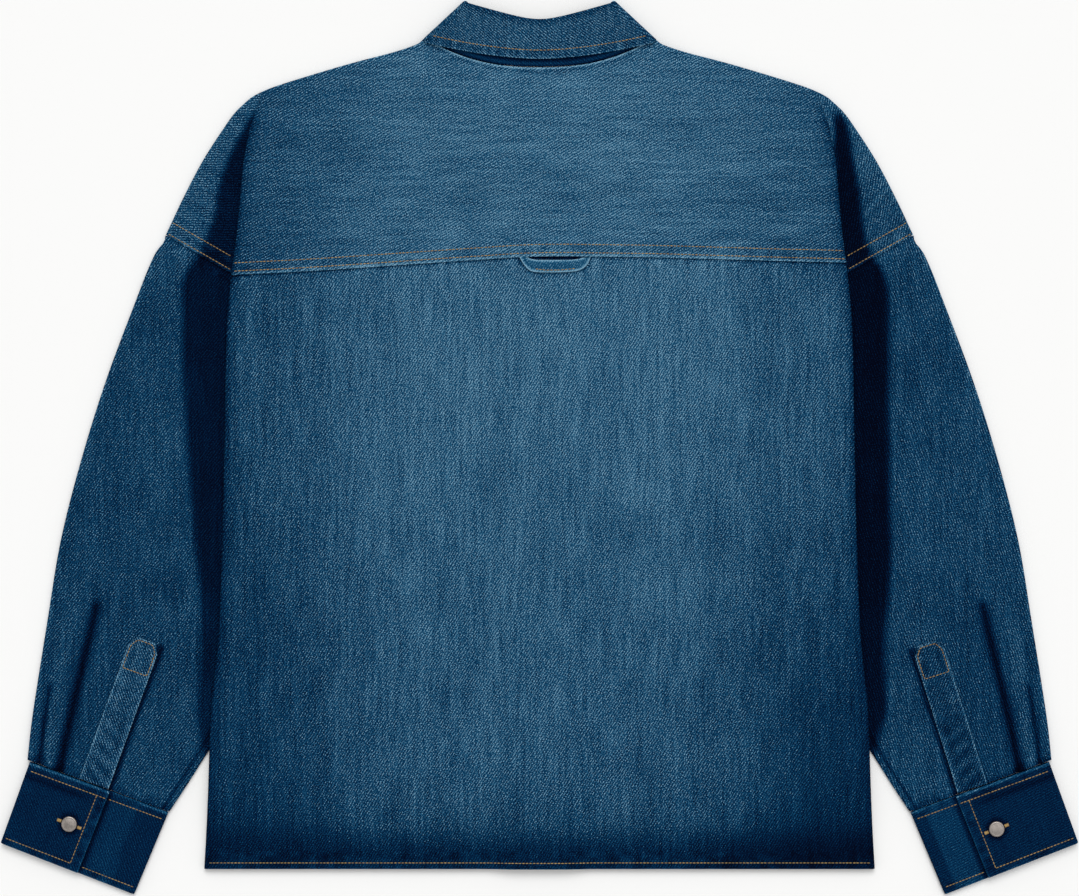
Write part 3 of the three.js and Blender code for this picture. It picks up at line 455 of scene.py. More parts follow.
class Nodes:
    """Short hand for placing and joining shader nodes."""

    def __init__(self, tree):
        self.tree = tree

    def add(self, kind, *values, **settings):
        node = self.tree.nodes.new(kind)
        for key, value in settings.items():
            setattr(node, key, value)
        for socket, value in zip(node.inputs, values):
            self.put(socket, value)
        return node

    def put(self, socket, value):
        if value is None:
            return
        if isinstance(value, bpy.types.NodeSocket):
            self.tree.links.new(value, socket)
        else:
            socket.default_value = value

    def math(self, operation, *values):
        return self.add("ShaderNodeMath", *values, operation=operation).outputs[0]

    def vector(self, operation, *values):
        return self.add("ShaderNodeVectorMath", *values, operation=operation).outputs[0]

    def fill(self, node, values):
        """Values by the names of their sockets."""
        for label, value in values.items():
            self.put(node.inputs[label], value)
        return node.outputs

    def total(self, *terms):
        """A sum of values, where a pair is a value and its weight."""
        terms = [self.math("MULTIPLY", *term) if isinstance(term, tuple) else term for term in terms]
        total = terms[0]
        for term in terms[1:]:
            total = self.math("ADD", total, term)
        return total

    def noise(self, place, scale, detail=2.0, roughness=0.5, kind="FBM"):
        """Noise around zero, or ridges from zero upwards."""
        node = self.add("ShaderNodeTexNoise", noise_type=kind)
        outputs = self.fill(node, {
            "Vector": place, "Scale": scale, "Detail": detail, "Roughness": roughness,
        })
        return self.math("SUBTRACT", outputs["Fac"], 0.5) if kind == "FBM" else outputs["Fac"]

    def along(self, place, stretch):
        """The place squeezed along the warp, so that a noise there runs in streaks."""
        return self.vector("MULTIPLY", place, (1.0, stretch, 1.0))

    def turned(self, place, angle):
        node = self.add("ShaderNodeVectorRotate", rotation_type="Z_AXIS")
        return self.fill(node, {"Vector": place, "Angle": angle})[0]

    def ramp(self, value, start, stop):
        node = self.add("ShaderNodeMapRange", interpolation_type="SMOOTHSTEP")
        return self.fill(node, {"Value": value, "From Min": start, "From Max": stop})["Result"]

    def near(self, distance, reach, start):
        """One at no distance, fading to zero before its reach; start is the share where it sets in."""
        share = self.math("MINIMUM", self.math("DIVIDE", distance, reach), 1.0)
        return self.ramp(self.math("SUBTRACT", 1.0, share), 0.0, start)

    def two_colours(self, value, stops):
        """Colour between two stops, each a place and a colour, for a value around zero."""
        ramp = self.add("ShaderNodeValToRGB", self.math("ADD", 0.5, value))
        for element, (place, colour) in zip(ramp.color_ramp.elements, stops):
            element.position, element.color = place, tuple(colour)
        return ramp.outputs["Color"]


def new_group(name, inputs, outputs):
    """An empty node group: inputs with their defaults, of which None is a vector's, and outputs."""
    group = bpy.data.node_groups.new(name, "ShaderNodeTree")
    for label, default in inputs.items():
        kind = "NodeSocketVector" if default is None else "NodeSocketFloat"
        socket = group.interface.new_socket(name=label, in_out="INPUT", socket_type=kind)
        if default is not None:
            socket.default_value = default
    for label in outputs:
        kind = "NodeSocketColor" if label == "Color" else "NodeSocketFloat"
        group.interface.new_socket(name=label, in_out="OUTPUT", socket_type=kind)
    nodes = Nodes(group)
    start = group.nodes.new("NodeGroupInput")
    stop = group.nodes.new("NodeGroupOutput")
    return group, nodes, start.outputs, stop.inputs


def twill_group():
    """Twill of pale weft and indigo warp: ribs, uneven yarns, streaks along the warp and a marbled wash."""
    group, n, given, out = new_group(
        "Twill weave",
        {"Cloth": None, "Turn": 0.5, "Wale": 0.0022, "Contrast": 1.0, "Streaks": 1.0}, ["Tone", "Height"])
    cloth = given["Cloth"]
    turned = n.turned(cloth, given["Turn"])
    parts = n.add("ShaderNodeSeparateXYZ", turned)
    across = n.total(parts.outputs["Y"], (n.noise(cloth, 160.0, 1.0), 0.0016))
    rib = n.math("SINE", n.math("DIVIDE", n.math("MULTIPLY", across, 2 * math.pi), given["Wale"]))
    yarn = n.noise(n.along(turned, 1.6), 860.0, 2.0, 0.6)
    fleck = n.noise(cloth, 1150.0, 1.0)
    slub = n.noise(n.along(cloth, 0.06), 340.0, 2.0, 0.6)
    streak = n.noise(n.along(cloth, 0.12), 42.0, 4.0, 0.62)
    marble = n.noise(cloth, 21.0, 5.0, 0.62)
    cloud = n.noise(cloth, 5.0, 3.0, 0.5)
    crackle = n.ramp(n.noise(n.along(cloth, 0.55), 34.0, 3.0, kind="RIDGED_MULTIFRACTAL"), 0.72, 1.15)
    weave = n.total((rib, n.total(0.10, (yarn, 0.7))), (yarn, 1.25), fleck)
    streaks = n.total((slub, 0.24), (streak, 0.13))
    n.put(out["Tone"], n.total((weave, given["Contrast"]), (streaks, given["Streaks"]), (marble, 0.19),
                               (cloud, 0.12), (crackle, 0.05)))
    n.put(out["Height"], n.total((rib, 0.5), (yarn, 1.2)))
    return group


def pucker_group():
    """Puckers along a seam, within reach of its stitches: a bump, with the humps made paler, as wear and painted
    light, and the dips made darker, as painted shade.
    """
    group, n, given, out = new_group(
        "Seam puckers", {"Place": None, "From seam": 1.0, "Reach": 0.013}, ["Tone", "Height"])
    near = n.near(given["From seam"], given["Reach"], 0.35)
    hump = n.noise(given["Place"], 105.0, 1.0, 0.4)
    n.put(out["Tone"], n.math("MULTIPLY", n.math("MULTIPLY", hump, 0.40), near))
    n.put(out["Height"], n.math("MULTIPLY", hump, near))
    return group


def worn_group():
    """Wear on an edge: a thin pale line, broken here and there."""
    group, n, given, out = new_group(
        "Worn edge", {"Place": None, "From edge": 1.0, "Width": 0.0013}, ["Tone"])
    near = n.near(given["From edge"], given["Width"], 0.6)
    broken = n.total(0.75, (n.noise(given["Place"], 170.0, 2.0), 1.6))
    n.put(out["Tone"], n.math("MULTIPLY", n.math("MULTIPLY", near, broken), 0.24))
    return group


def srgb(red, green, blue):
    """A colour read on a screen, from 0 to 255, as the shader's linear colour."""
    def linear(value):
        value /= 255
        return value / 12.92 if value <= 0.04045 else ((value + 0.055) / 1.055) ** 2.4
    return (linear(red), linear(green), linear(blue), 1.0)


def dye_and_shade_group(colours):
    """The colour of the cloth for a value from 0, deep indigo, to 1, nearly white; the value holds the wash with
    its painted shade.
    """
    group, n, given, out = new_group("Indigo dye and painted shade", {"Tone": 0.5}, ["Color"])
    ramp = n.add("ShaderNodeValToRGB", given["Tone"])
    stops = [
        (0.0, srgb(0, 3, 18)), (0.2, colours.dark), (0.5, colours.indigo), (0.73, colours.washed),
        (0.88, colours.pale), (1.0, srgb(128, 170, 194)),
    ]
    band = ramp.color_ramp
    band.elements[0].position, band.elements[0].color = stops[0][0], tuple(stops[0][1])
    band.elements[1].position, band.elements[1].color = stops[-1][0], tuple(stops[-1][1])
    for place, colour in stops[1:-1]:
        band.elements.new(place).color = tuple(colour)
    n.put(out["Color"], ramp.outputs["Color"])
    return group


def shared_groups():
    """The node groups that every denim shares, made once."""
    makers = {
        "Twill weave": twill_group,
        "Seam puckers": pucker_group,
        "Worn edge": worn_group,
        "Indigo dye and painted shade": lambda: dye_and_shade_group(bpy.context.scene.shirt_colours),
    }
    return [bpy.data.node_groups.get(name) or make() for name, make in makers.items()]


def denim(name, turn, contrast=1.0, streaks=1.0, shift=(0.0, 0.0), pucker=0.013, grain=0):
    """
    Denim whose ribs run at turn degrees from the cloth's width, and its streaks at grain degrees from
    its length. shift moves the weave, and pucker is how far puckers reach from a seam.
    """
    if bpy.data.materials.get(name):
        return bpy.data.materials[name]
    material, tree, shader = materials_root(name)
    n = Nodes(tree)

    def use(group, values):
        return n.fill(n.add("ShaderNodeGroup", node_tree=group), values)

    twill, puckers, worn, dye_and_shade = shared_groups()
    cloth = n.vector("ADD", n.add("ShaderNodeUVMap", uv_map="cloth").outputs["UV"], (*shift, 0.0))
    place = n.add("ShaderNodeTexCoord").outputs["Object"]
    wash_and_shade, seam, edge = (n.add("ShaderNodeAttribute", attribute_name=kind).outputs["Fac"] for kind in MARKS)
    weave = use(twill, {
        "Cloth": n.turned(cloth, math.radians(-grain)), "Turn": math.radians(grain - turn),
        "Wale": bpy.context.scene.shirt_sizes.wale, "Contrast": contrast, "Streaks": streaks,
    })
    humps = use(puckers, {"Place": place, "From seam": seam, "Reach": pucker})
    wear = use(worn, {"Place": place, "From edge": edge})
    # Deep indigo takes less of the weave's contrast than washed cloth does
    taken = n.total((n.ramp(wash_and_shade, 0.0, 0.5), 0.55), 0.45)
    # The colour sums the wash with its painted shade, the weave, the puckers' paler humps and painted shade, and
    # the worn edges
    total = n.total(wash_and_shade, (weave["Tone"], taken), humps["Tone"], wear["Tone"])
    height = n.total((weave["Height"], TWILL_DEPTH), (humps["Height"], PUCKER_DEPTH))
    bump = n.fill(n.add("ShaderNodeBump"), {"Strength": 0.8, "Distance": 1.0, "Height": height})
    n.fill(shader, {"Base Color": use(dye_and_shade, {"Tone": total})["Color"], "Normal": bump["Normal"]})
    shader.inputs["Roughness"].default_value = 0.88
    shader.inputs["Specular IOR Level"].default_value = 0.03
    return material


def thread_material():
    """Ochre cotton thread, mottled between its lit colour and a painted shaded copy, with its twist and a little
    dirt.
    """
    name = "ochre_thread"
    if bpy.data.materials.get(name):
        return bpy.data.materials[name]
    material, tree, shader = materials_root(name)
    n = Nodes(tree)
    place = n.add("ShaderNodeTexCoord").outputs["Object"]
    value = n.total(n.noise(place, 95.0, 2.0), n.noise(place, 1400.0, 1.0))
    colours = bpy.context.scene.shirt_colours
    stops = [(0.25, colours.thread_dark), (0.75, colours.thread)]
    n.put(shader.inputs["Base Color"], n.two_colours(value, stops))
    shader.inputs["Roughness"].default_value = 0.6
    return material


def metal_material():
    """Dull pewter with a fine grain and darker patches."""
    name = "pewter"
    if bpy.data.materials.get(name):
        return bpy.data.materials[name]
    material, tree, shader = materials_root(name)
    n = Nodes(tree)
    place = n.add("ShaderNodeTexCoord").outputs["Object"]
    value = n.total(n.noise(place, 260.0, 3.0), n.noise(place, 1500.0, 2.0))
    metal = bpy.context.scene.shirt_colours.metal
    darker_patch = (*(0.62 * part for part in metal[:3]), 1.0)
    n.put(shader.inputs["Base Color"], n.two_colours(value, [(0.2, darker_patch), (0.7, metal)]))
    n.put(shader.inputs["Roughness"], n.total(0.42, (value, 0.3)))
    shader.inputs["Metallic"].default_value = 1.0
    return material


def finished(name, bm, material, node=None):
    """An object at the origin from a bmesh in metres, which rides on the shirt."""
    mesh = bpy.data.meshes.new(name)
    bm.to_mesh(mesh)
    bm.free()
    mesh.materials.append(material)
    for face in mesh.polygons:
        face.use_smooth = True
    piece = bpy.data.objects.new(name, mesh)
    bpy.context.scene.collection.objects.link(piece)
    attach(piece, "root")
    if node:
        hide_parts(node)
    return piece


def cloth_piece(node, patches, thickness, material, marks, rim=0.4,
                lay=None):
    """
    A cloth wall on its CAD node. Each patch is a grid of places in the middle of the cloth, and patches
    that share places are joined. marks gives each place its wash with its painted shade, and its distances from
    seam and edge, and lay its place on the cloth, or else the cloth is measured out along the grid.
    """
    bm = bmesh.new()
    uv = bm.loops.layers.uv.new("cloth")
    layers = [bm.verts.layers.float.new(kind) for kind in MARKS]
    for rows in patches:
        high, wide = len(rows), len(rows[0])
        made = bmesh.ops.create_grid(bm, x_segments=wide - 1, y_segments=high - 1, size=1.0)["verts"]
        spots = {}
        down = [0.0] * wide
        middle = wide // 2
        for i, row in enumerate(rows):
            across = [0.0]
            for a, b in zip(row, row[1:]):
                across.append(across[-1] + math.dist(a, b))
            if i:
                down = [d + math.dist(a, b) for d, a, b in zip(down, rows[i - 1], row)]
            for j, place in enumerate(row):
                spots[i * wide + j] = (place, lay(*place) if lay else (across[j] - across[middle], -down[j]))
        where = {}
        for vertex in made:
            column = round((vertex.co.x + 1) / 2 * (wide - 1))
            row = round((1 - vertex.co.y) / 2 * (high - 1))
            where[vertex] = spots[row * wide + column]
        for face in {face for vertex in made for face in vertex.link_faces}:
            for loop in face.loops:
                loop[uv].uv = [value * MM for value in where[loop.vert][1]]
        for vertex, (place, _) in where.items():
            vertex.co = [value * MM for value in place]
            for layer, value in zip(layers, marks(*place)):
                vertex[layer] = value
    bmesh.ops.remove_doubles(bm, verts=bm.verts, dist=0.02 * MM)
    bmesh.ops.dissolve_degenerate(bm, edges=bm.edges, dist=0.01 * MM)
    bmesh.ops.recalc_face_normals(bm, faces=bm.faces)
    piece = finished(node + "_cloth", bm, material, node)
    wall = piece.modifiers.new("cloth wall", "SOLIDIFY")
    wall.thickness = thickness * MM
    wall.offset = 0.0
    soft = piece.modifiers.new("soft rim", "BEVEL")
    soft.width = rim * MM
    soft.segments = 2
    soft.limit_method = "ANGLE"
    soft.angle_limit = math.radians(50)
    soft.harden_normals = True
    return piece


def lay_flat(x, y, z):
    """The cloth of a piece that lies flat, measured straight from above."""
    return (x, y)


# Back yoke

ARMHOLE_DOWN = (Vector(ARMHOLE_TURN) - Vector(SLEEVE_TOP)).normalized()
OUTLINE_IN = SHOULDER_ROLL + DENIM / 2
ARCS = 8
YOKE_COLUMNS = [i / 66 * 0.985 for i in range(67)]
CAP_COLUMNS = shares(24)[1:]


def shoulder_in(half):
    """The outline's height there, less the shoulder's fold."""
    slope = (shoulder_y(half + 1) - shoulder_y(half - 1)) / 2
    return shoulder_y(half) - OUTLINE_IN * math.hypot(1, slope)


@cache
def outer_in(y):
    """The outline's half width there, less the fold."""
    slope = (outer_edge(y + 1) - outer_edge(y - 1)) / 2
    return outer_edge(y) - OUTLINE_IN * math.hypot(1, slope)


@cache
def pleat(share, sign):
    """The shoulder's pleat at a share of the way down the yoke: over, back under the body, and out."""
    edge_y = mix(PLEAT_START[1], yoke_seam(YOKE_HALF * sign), share)
    turn = math.pi * smooth(0, PLEAT_OPENS, share)
    opened = max(0, (share - PLEAT_OPENS) / (1 - PLEAT_OPENS))
    hidden = (TURNED_UNDER[0][1] - EDGE_ROLL - DENIM / 2) * opened
    out = EDGE_ROLL * (1 if turn > math.pi / 2 else math.sin(turn))
    start_half = mix(PLEAT_START[0], body_edge(edge_y) - out - DENIM / 2, smooth(0, PLEAT_SETTLES, share))
    section = [(0, 0)]
    spread = PLEAT_SPREAD / (2 * ARCS + 2) * (1 - turn / math.pi)
    along = drop = angle = 0
    moves = [(2 * EDGE_ROLL * math.sin(turn / ARCS / 2), turn / ARCS)] * ARCS
    moves += [(hidden / 2, 0)] * 2
    moves += [(2 * HIDDEN_ROLL * math.sin(turn / ARCS / 2), -turn / ARCS)] * ARCS
    for length, turned in moves:
        middle = angle + turned / 2
        angle += turned
        along += length * math.cos(middle) + spread
        drop += length * math.sin(middle)
        section.append((along, drop))
    end_y = mix(edge_y, edge_y + (ARMHOLE_TURN[1] - edge_y) * share, share)
    rounds = 1 - smooth(0, PLEAT_ROUNDS, share)

    def fallen(half):
        return (shoulder_in(half) - shoulder_in(PLEAT_START[0])) * rounds

    end = (start_half + along, end_y + fallen(start_half + along))
    level = sleeve_level(end[0], min(end[1], SHOULDER_FLAT_Y)) + drop
    points = []
    for i, (out, down) in enumerate(section):
        towards = clamp((i - ARCS) / 2)
        y = mix(edge_y, end_y, towards) + fallen(start_half + out)
        points.append((sign * (start_half + out), y, level - down))
    return {"start": (start_half, edge_y), "level": level, "end": end, "points": points}


def shoulder_end(share, start):
    y = mix(start[1], SLEEVE_TOP[1], share)
    return (outer_in(y) + (start[0] - outer_in(start[1])) * (1 - share) ** 8, y)


def yoke_section(share, sign):
    """One section of the yoke at a share of the way down, from the middle to the shoulder's end."""
    fold, top, bottom = pleat(share, sign), pleat(0, sign), pleat(1, sign)
    section = []
    for g in YOKE_COLUMNS:
        half = g * fold["start"][0]
        top_half = g * top["start"][0]
        top_in = top_y(top_half) - EDGE_GAP
        if top_half > NECK_HALF:
            top_in = mix(top_in, shoulder_in(top_half), smooth(NECK_HALF, NECK_HALF + 8, top_half))
        seam = yoke_seam(sign * g * bottom["start"][0]) - LAP
        y = mix(top_in, seam, share)
        z = back_level(half, y, fold["start"][0], fold["level"])
        fell = LAP_RISE * smooth(FELL + 2.4, FELL - 1.4, y - seam)
        relief = creased(sign * half, y, BACK_CREASES) * smooth(0, 30, fold["start"][0] - half)
        section.append((sign * half, y, z + fell + relief))
    rise = LAP_RISE * smooth(0.9, 0.985, share)
    section += [(x, y - LAP * share, z + rise) for x, y, z in fold["points"]]
    for c in CAP_COLUMNS:
        above = shoulder_end(c, top["end"])
        below = mix_point(bottom["end"], SLEEVE_TOP, c)
        place = mix_point(above, below, share)
        ends = mix_point(top["end"], bottom["end"], share)
        half = place[0] + (1 - c) * (fold["end"][0] - ends[0])
        y = place[1] + (1 - c) * (fold["end"][1] - ends[1])
        if c == 1:
            half, y = SLEEVE_TOP
        level = sleeve_level(half, y)
        past = LAP * share * (1 - c ** 6)
        section.append((sign * (half + past * 0.5), y - past * 0.85, level + rise * (1 - c ** 8)))
    return section


def yoke_front(sign, depth=YOKE_FRONT_DEPTH):
    """The strip over the shoulder: from the front seam up to the shoulder's fold and over it."""
    edge = [p for p in yoke_section(0, sign)]
    first = next(i for i, g in enumerate(YOKE_COLUMNS) if g * PLEAT_START[0] >= NECK_HALF)
    corner = len(YOKE_COLUMNS) - first
    edge = edge[first:]
    last = len(edge) - 1
    length = [0.0]
    for a, b in zip(edge, edge[1:]):
        length.append(length[-1] + math.dist(a, b))
    start = (edge[0][0], edge[0][1] - depth)
    turn = (edge[corner][0] - sign * CORNER_SEAM[0] * depth, edge[corner][1] - CORNER_SEAM[1] * depth)
    stop = (edge[last][0] + sign * ARMHOLE_DOWN.x * depth, edge[last][1] + ARMHOLE_DOWN.y * depth)
    columns = []
    for i, (px, py, pz) in enumerate(edge):
        before, after = edge[max(0, i - 18)], edge[min(last, i + 18)]
        out = Vector((-sign * (after[1] - before[1]), sign * (after[0] - before[0]))).normalized()
        share = (length[i] - length[corner]) / (length[last] - length[corner])
        if share < 0:
            seam = mix_point(start, turn, length[i] / length[corner])
        else:
            seam = mix_point(turn, stop, share)
        flat = [mix_point(seam, (px, py), s) for s in shares(8)]
        flat = [(x, y, rest_level(abs(x), y)) for x, y in flat]
        columns.append(flat + half_turn(px, py, pz, flat[-1][2], out.x, out.y, 6)[::-1] + [(px, py, pz)])
    rows = [[column[row] for column in columns] for row in range(len(columns[0]))]
    return rows if sign > 0 else [row[::-1] for row in rows]


def across_shirt(section):
    return section(-1)[::-1] + section(1)[1:]


ARMHOLE_FRONT = (SLEEVE_TOP, (306, 176), (264, 151))
CAP_TURNS = {-1: 30, 1: -50}


def on_cap(x, y, z):
    """Whether a place of the yoke is past the pleat, on the part that caps the sleeve."""
    from_edge = abs(x) - body_edge(min(y, 318))
    return from_edge > 0.5 or (from_edge > -16 and z < 4.3 and y < 284)


def yoke_lay(x, y, z):
    """The caps' cloth runs another way than the yoke's, and not the same on both sides."""
    turn = math.radians(CAP_TURNS[1 if x > 0 else -1]) if on_cap(x, y, z) else 0
    return (x * math.cos(turn) - y * math.sin(turn), x * math.sin(turn) + y * math.cos(turn))


def yoke_marks(x, y, z):
    half = abs(x)
    lower = yoke_seam(x) - LAP
    if on_cap(x, y, z):
        out = from_line(half, y, ARMHOLE_FRONT)
        return sleeve_wash_and_shade(x, y, z), out * MM, (out + 0.2) * MM
    neck = abs(top_y(half) - y) if half < NECK_HALF else 30
    line = 0.34 * smooth(2.3, 1.2, neck) - 0.12 * smooth(6, 3.2, neck) * smooth(1.8, 3.0, neck)
    line += 0.22 * smooth(2.3, 1.2, y - lower)
    return body_wash_and_shade(x, y) + line, min(y - lower, neck + 4) * MM, 0.04


class SHIRT_OT_yoke(bpy.types.Operator):
    """Back yoke with the shoulder pleats and the strips that come over the shoulders"""
    bl_idname = "shirt.yoke"
    bl_label = "Back yoke"

    def execute(self, context):
        # Rows are closer at the neck and at the felled edge, where thin lines are painted
        downs = [0, 0.004, 0.008, 0.012, 0.02] + [i / 60 for i in range(2, 58)]
        downs += [0.965, 0.975, 0.984, 0.992, 1.0]
        top = [across_shirt(lambda sign, s=share: yoke_section(s, sign)) for share in downs]
        cloth_piece(
            "back_yoke", [top, yoke_front(-1), yoke_front(1)], DENIM,
            denim("denim_yoke", 30, 1.7, 1.9, grain=90), yoke_marks, lay=yoke_lay)
        return {"FINISHED"}


# Back panel

def back_section(share, sign):
    top = yoke_seam(YOKE_HALF * sign) - EDGE_GAP
    edge_y = mix(top, HEM_Y, share)
    start = body_edge(edge_y) - EDGE_ROLL - DENIM / 2
    lower = turned_level(edge_y)
    upper = lower + 2 * EDGE_ROLL
    section = []
    for g in shares(80)[:-1]:
        half = g * start
        y = mix(yoke_seam(sign * half) - EDGE_GAP, HEM_Y, share)
        relief = creased(sign * half, y, BACK_CREASES) * smooth(0, 24, start - half)
        relief *= smooth(0, 12, yoke_seam(sign * half) - y)
        section.append((sign * half, y, back_level(half, y, start, upper) + relief))
    section.append((sign * start, edge_y, upper))
    section += half_turn(sign * start, edge_y, upper, lower, sign, 0)
    for s in shares(4):
        y = mix(mix(top, ARMHOLE_TURN[1] - EDGE_GAP, s), HEM_Y, share)
        section.append((sign * mix(start, seam_half(y) + EDGE_GAP, s), y, mix(lower, turned_level(y), s)))
    fold = HEM_RISE * smooth(HEM_WIDTH + 1, HEM_WIDTH - 0.5, edge_y - HEM_Y)
    return [(x, y, z + (fold if z > 3 else 0)) for x, y, z in section]


LOOP_OUTER = [row[:2] for row in LOOP]


def back_marks(x, y, z):
    half = abs(x)
    from_hem = y - HEM_Y
    from_yoke = yoke_seam(x) - LAP - y
    # Painted shadow just under the lapped edge of the yoke
    wash_and_shade = body_wash_and_shade(x, y) - 0.34 * smooth(2.6, 0.4, from_yoke)
    # Painted shade in the opening under the locker loop, and a painted shadow round its outer edge
    if y > 150 and -30 < x < 60:
        wash_and_shade -= 0.45 * smooth(-14, -10, x) * smooth(39, 35, x) * smooth(166.5, 168.5, y)
        wash_and_shade -= 0.26 * math.exp(-(from_line(x, y, LOOP_OUTER) / 2.2) ** 2)
    from_seam = min(abs(from_hem - 5), abs(from_yoke) + 3)
    from_edge = min(from_hem + 0.2, abs(from_hem - HEM_WIDTH) + 0.6)
    return wash_and_shade, from_seam * MM, from_edge * MM


class SHIRT_OT_back(bpy.types.Operator):
    """Back panel, its sides folded under as far as the side seams, and its turned hem"""
    bl_idname = "shirt.back"
    bl_label = "Back panel"

    def execute(self, context):
        downs = [i / 130 * 0.975 for i in range(131)] + [0.981, 0.984, 0.987, 0.99, 0.995, 1.0]
        rows = [across_shirt(lambda sign, s=share: back_section(s, sign)) for share in downs]
        cloth_piece(
            "back_panel", [rows], DENIM, denim("denim_back", 58, 1.7, 2.2, shift=(0.31, 0.2)),
            back_marks, lay=lay_flat)
        return {"FINISHED"}


# Fronts and bands

TURN_ROW = 0.1
UNDERARM_ROW = 0.28
NECK_SHARE = 0.25
YOKE_FRONT_END = tuple(Vector(SLEEVE_TOP) + ARMHOLE_DOWN * (YOKE_FRONT_DEPTH + 1))


def front_outer(share):
    if share < TURN_ROW:
        return mix_point(YOKE_FRONT_END, ARMHOLE_TURN, share / TURN_ROW)
    if share < UNDERARM_ROW:
        y = mix(ARMHOLE_TURN[1], UNDERARM_Y, (share - TURN_ROW) / (UNDERARM_ROW - TURN_ROW))
    else:
        y = mix(UNDERARM_Y, HEM_Y, (share - UNDERARM_ROW) / (1 - UNDERARM_ROW))
    return (seam_half(y) - EDGE_GAP, y)


def front_neck_y(half):
    return neck_y(half, NECK_FRONT) - 1.2


def front_grid(sign, band_half, band_level):
    """A front panel from its band outwards, and from the neck and yoke seam down to the hem."""
    seam = sorted((abs(x), y) for x, y, _ in yoke_front(sign, YOKE_FRONT_DEPTH + 2 * EDGE_GAP)[0])
    columns = shares(52)
    tops = []
    for g in columns:
        if g > NECK_SHARE:
            place = (len(seam) - 1) * (g - NECK_SHARE) / (1 - NECK_SHARE)
            i = min(int(place), len(seam) - 2)
            tops.append(mix_point(seam[i], seam[i + 1], place - i))
        else:
            half = mix(band_half, seam[0][0], g / NECK_SHARE)
            tops.append((half, min(front_neck_y(half), seam[0][1])))
    band_top = (band_half, front_neck_y(band_half))
    rows = []
    for share in shares(96):
        row = []
        outer = front_outer(share)
        for g, top in zip(columns, tops):
            place = mix_point((band_half, mix(band_top[1], HEM_Y, share)), outer, g)
            straight = mix_point(band_top, front_outer(0), g)
            half = place[0] + (1 - share) ** 3 * (top[0] - straight[0])
            y = place[1] + (1 - share) ** 3 * (top[1] - straight[1])
            band = FLOOR + (band_level - FLOOR) * smooth(band_half + BAND_SLOPE, band_half + 1, half)
            relief = max(0, creased(sign * half, y, FRONT_CREASES))
            row.append((sign * half, y, max(rest_level(half, y), band) + relief))
        rows.append(row)
    return rows


def front_marks(x, y, z):
    return body_wash_and_shade(x, y) - 0.02, min(y - HEM_Y, 40) * MM, abs(y - HEM_Y - HEM_WIDTH) * MM


def band_marks(band):
    def marks(x, y, z):
        edge = min(x - band[0], band[1] - x)
        return body_wash_and_shade(0, y) - 0.06, edge * MM, edge * MM
    return marks


class SHIRT_OT_fronts(bpy.types.Operator):
    """Both fronts, which lie on the floor, with their button bands"""
    bl_idname = "shirt.fronts"
    bl_label = "Fronts and bands"

    def execute(self, context):
        for name, sign, band_half, level in (
            ("front_left", -1, -BUTTONHOLE_BAND[0] + 2 * EDGE_GAP, BUTTONHOLE_BAND[2]),
            ("front_right", 1, BUTTON_BAND[1] + 2 * EDGE_GAP, BUTTON_BAND[2]),
        ):
            cloth_piece(
                name, [front_grid(sign, band_half, level)], DENIM,
                denim("denim_" + name, 58 * sign, shift=(0.5 * sign, 0.1)), front_marks)
        for name, band in (("buttonhole_band", BUTTONHOLE_BAND), ("button_band", BUTTON_BAND)):
            low, high, level = band
            rows = [[(mix(low, high, g), mix(NECK_FRONT[0] - 1.5, HEM_Y, share), level) for g in shares(14)]
                    for share in shares(180)]
            cloth_piece(name, [rows], BAND_CLOTH, denim("denim_bands", 64, shift=(0.8, 0.4)),
                        band_marks(band), rim=0.7)
        return {"FINISHED"}


# Sleeves

ARMHOLE_SHARE = 0.42


def armhole_seam(share):
    if share < ARMHOLE_SHARE:
        return mix_point(SLEEVE_TOP, ARMHOLE_TURN, share / ARMHOLE_SHARE)
    y = mix(ARMHOLE_TURN[1], UNDERARM_Y, (share - ARMHOLE_SHARE) / (1 - ARMHOLE_SHARE))
    return (seam_half(y), y)


def sleeve_place(length, width):
    """A place on the sleeve: length from armhole to cuff, width from the outer to the inner fold."""
    outer_y = mix(SLEEVE_TOP[1], CUFF_CORNERS[0][1] + 1, length)
    inner_y = mix(UNDERARM_Y, CUFF_CORNERS[1][1] + 1, length)
    outer_half = mix(SLEEVE_TOP[0], outer_in(outer_y), smooth(0, 0.03, length))
    inner = (inner_edge(inner_y) + SLEEVE_INNER_ROLL + DENIM / 2, inner_y)
    place = mix_point((outer_half, outer_y), inner, width)
    chord = mix_point(SLEEVE_TOP, (inner_edge(UNDERARM_Y) + 1, UNDERARM_Y), width)
    seam = armhole_seam(width)
    pull = (1 - length) ** 3
    clear = 2 * EDGE_GAP * pull
    half = place[0] + pull * (seam[0] - chord[0]) + clear * 0.7
    return (half, place[1] + pull * (seam[1] - chord[1]) - clear * 0.8)


def upper_level(length, width, place):
    """Middle level of the sleeve's upper layer, with the pleats above the cuff."""
    at_cuff = smooth(0.86, 1, length)
    lap = CUFF_LEVELS[1] + 1.4 * smooth(0.62, 0.45, width)
    level = mix(sleeve_level(*place), lap, at_cuff)
    if width == 1:
        level = mix(FLOOR + 2 * SLEEVE_INNER_ROLL, CUFF_LEVELS[1], at_cuff)
    for at, step, start in PLEATS:
        ridge = smooth(at - 0.12, at - 0.01, width) * smooth(at + PLEAT_EDGE, at, width)
        level += step * ridge * smooth(start, start + 0.14, length)
    return level


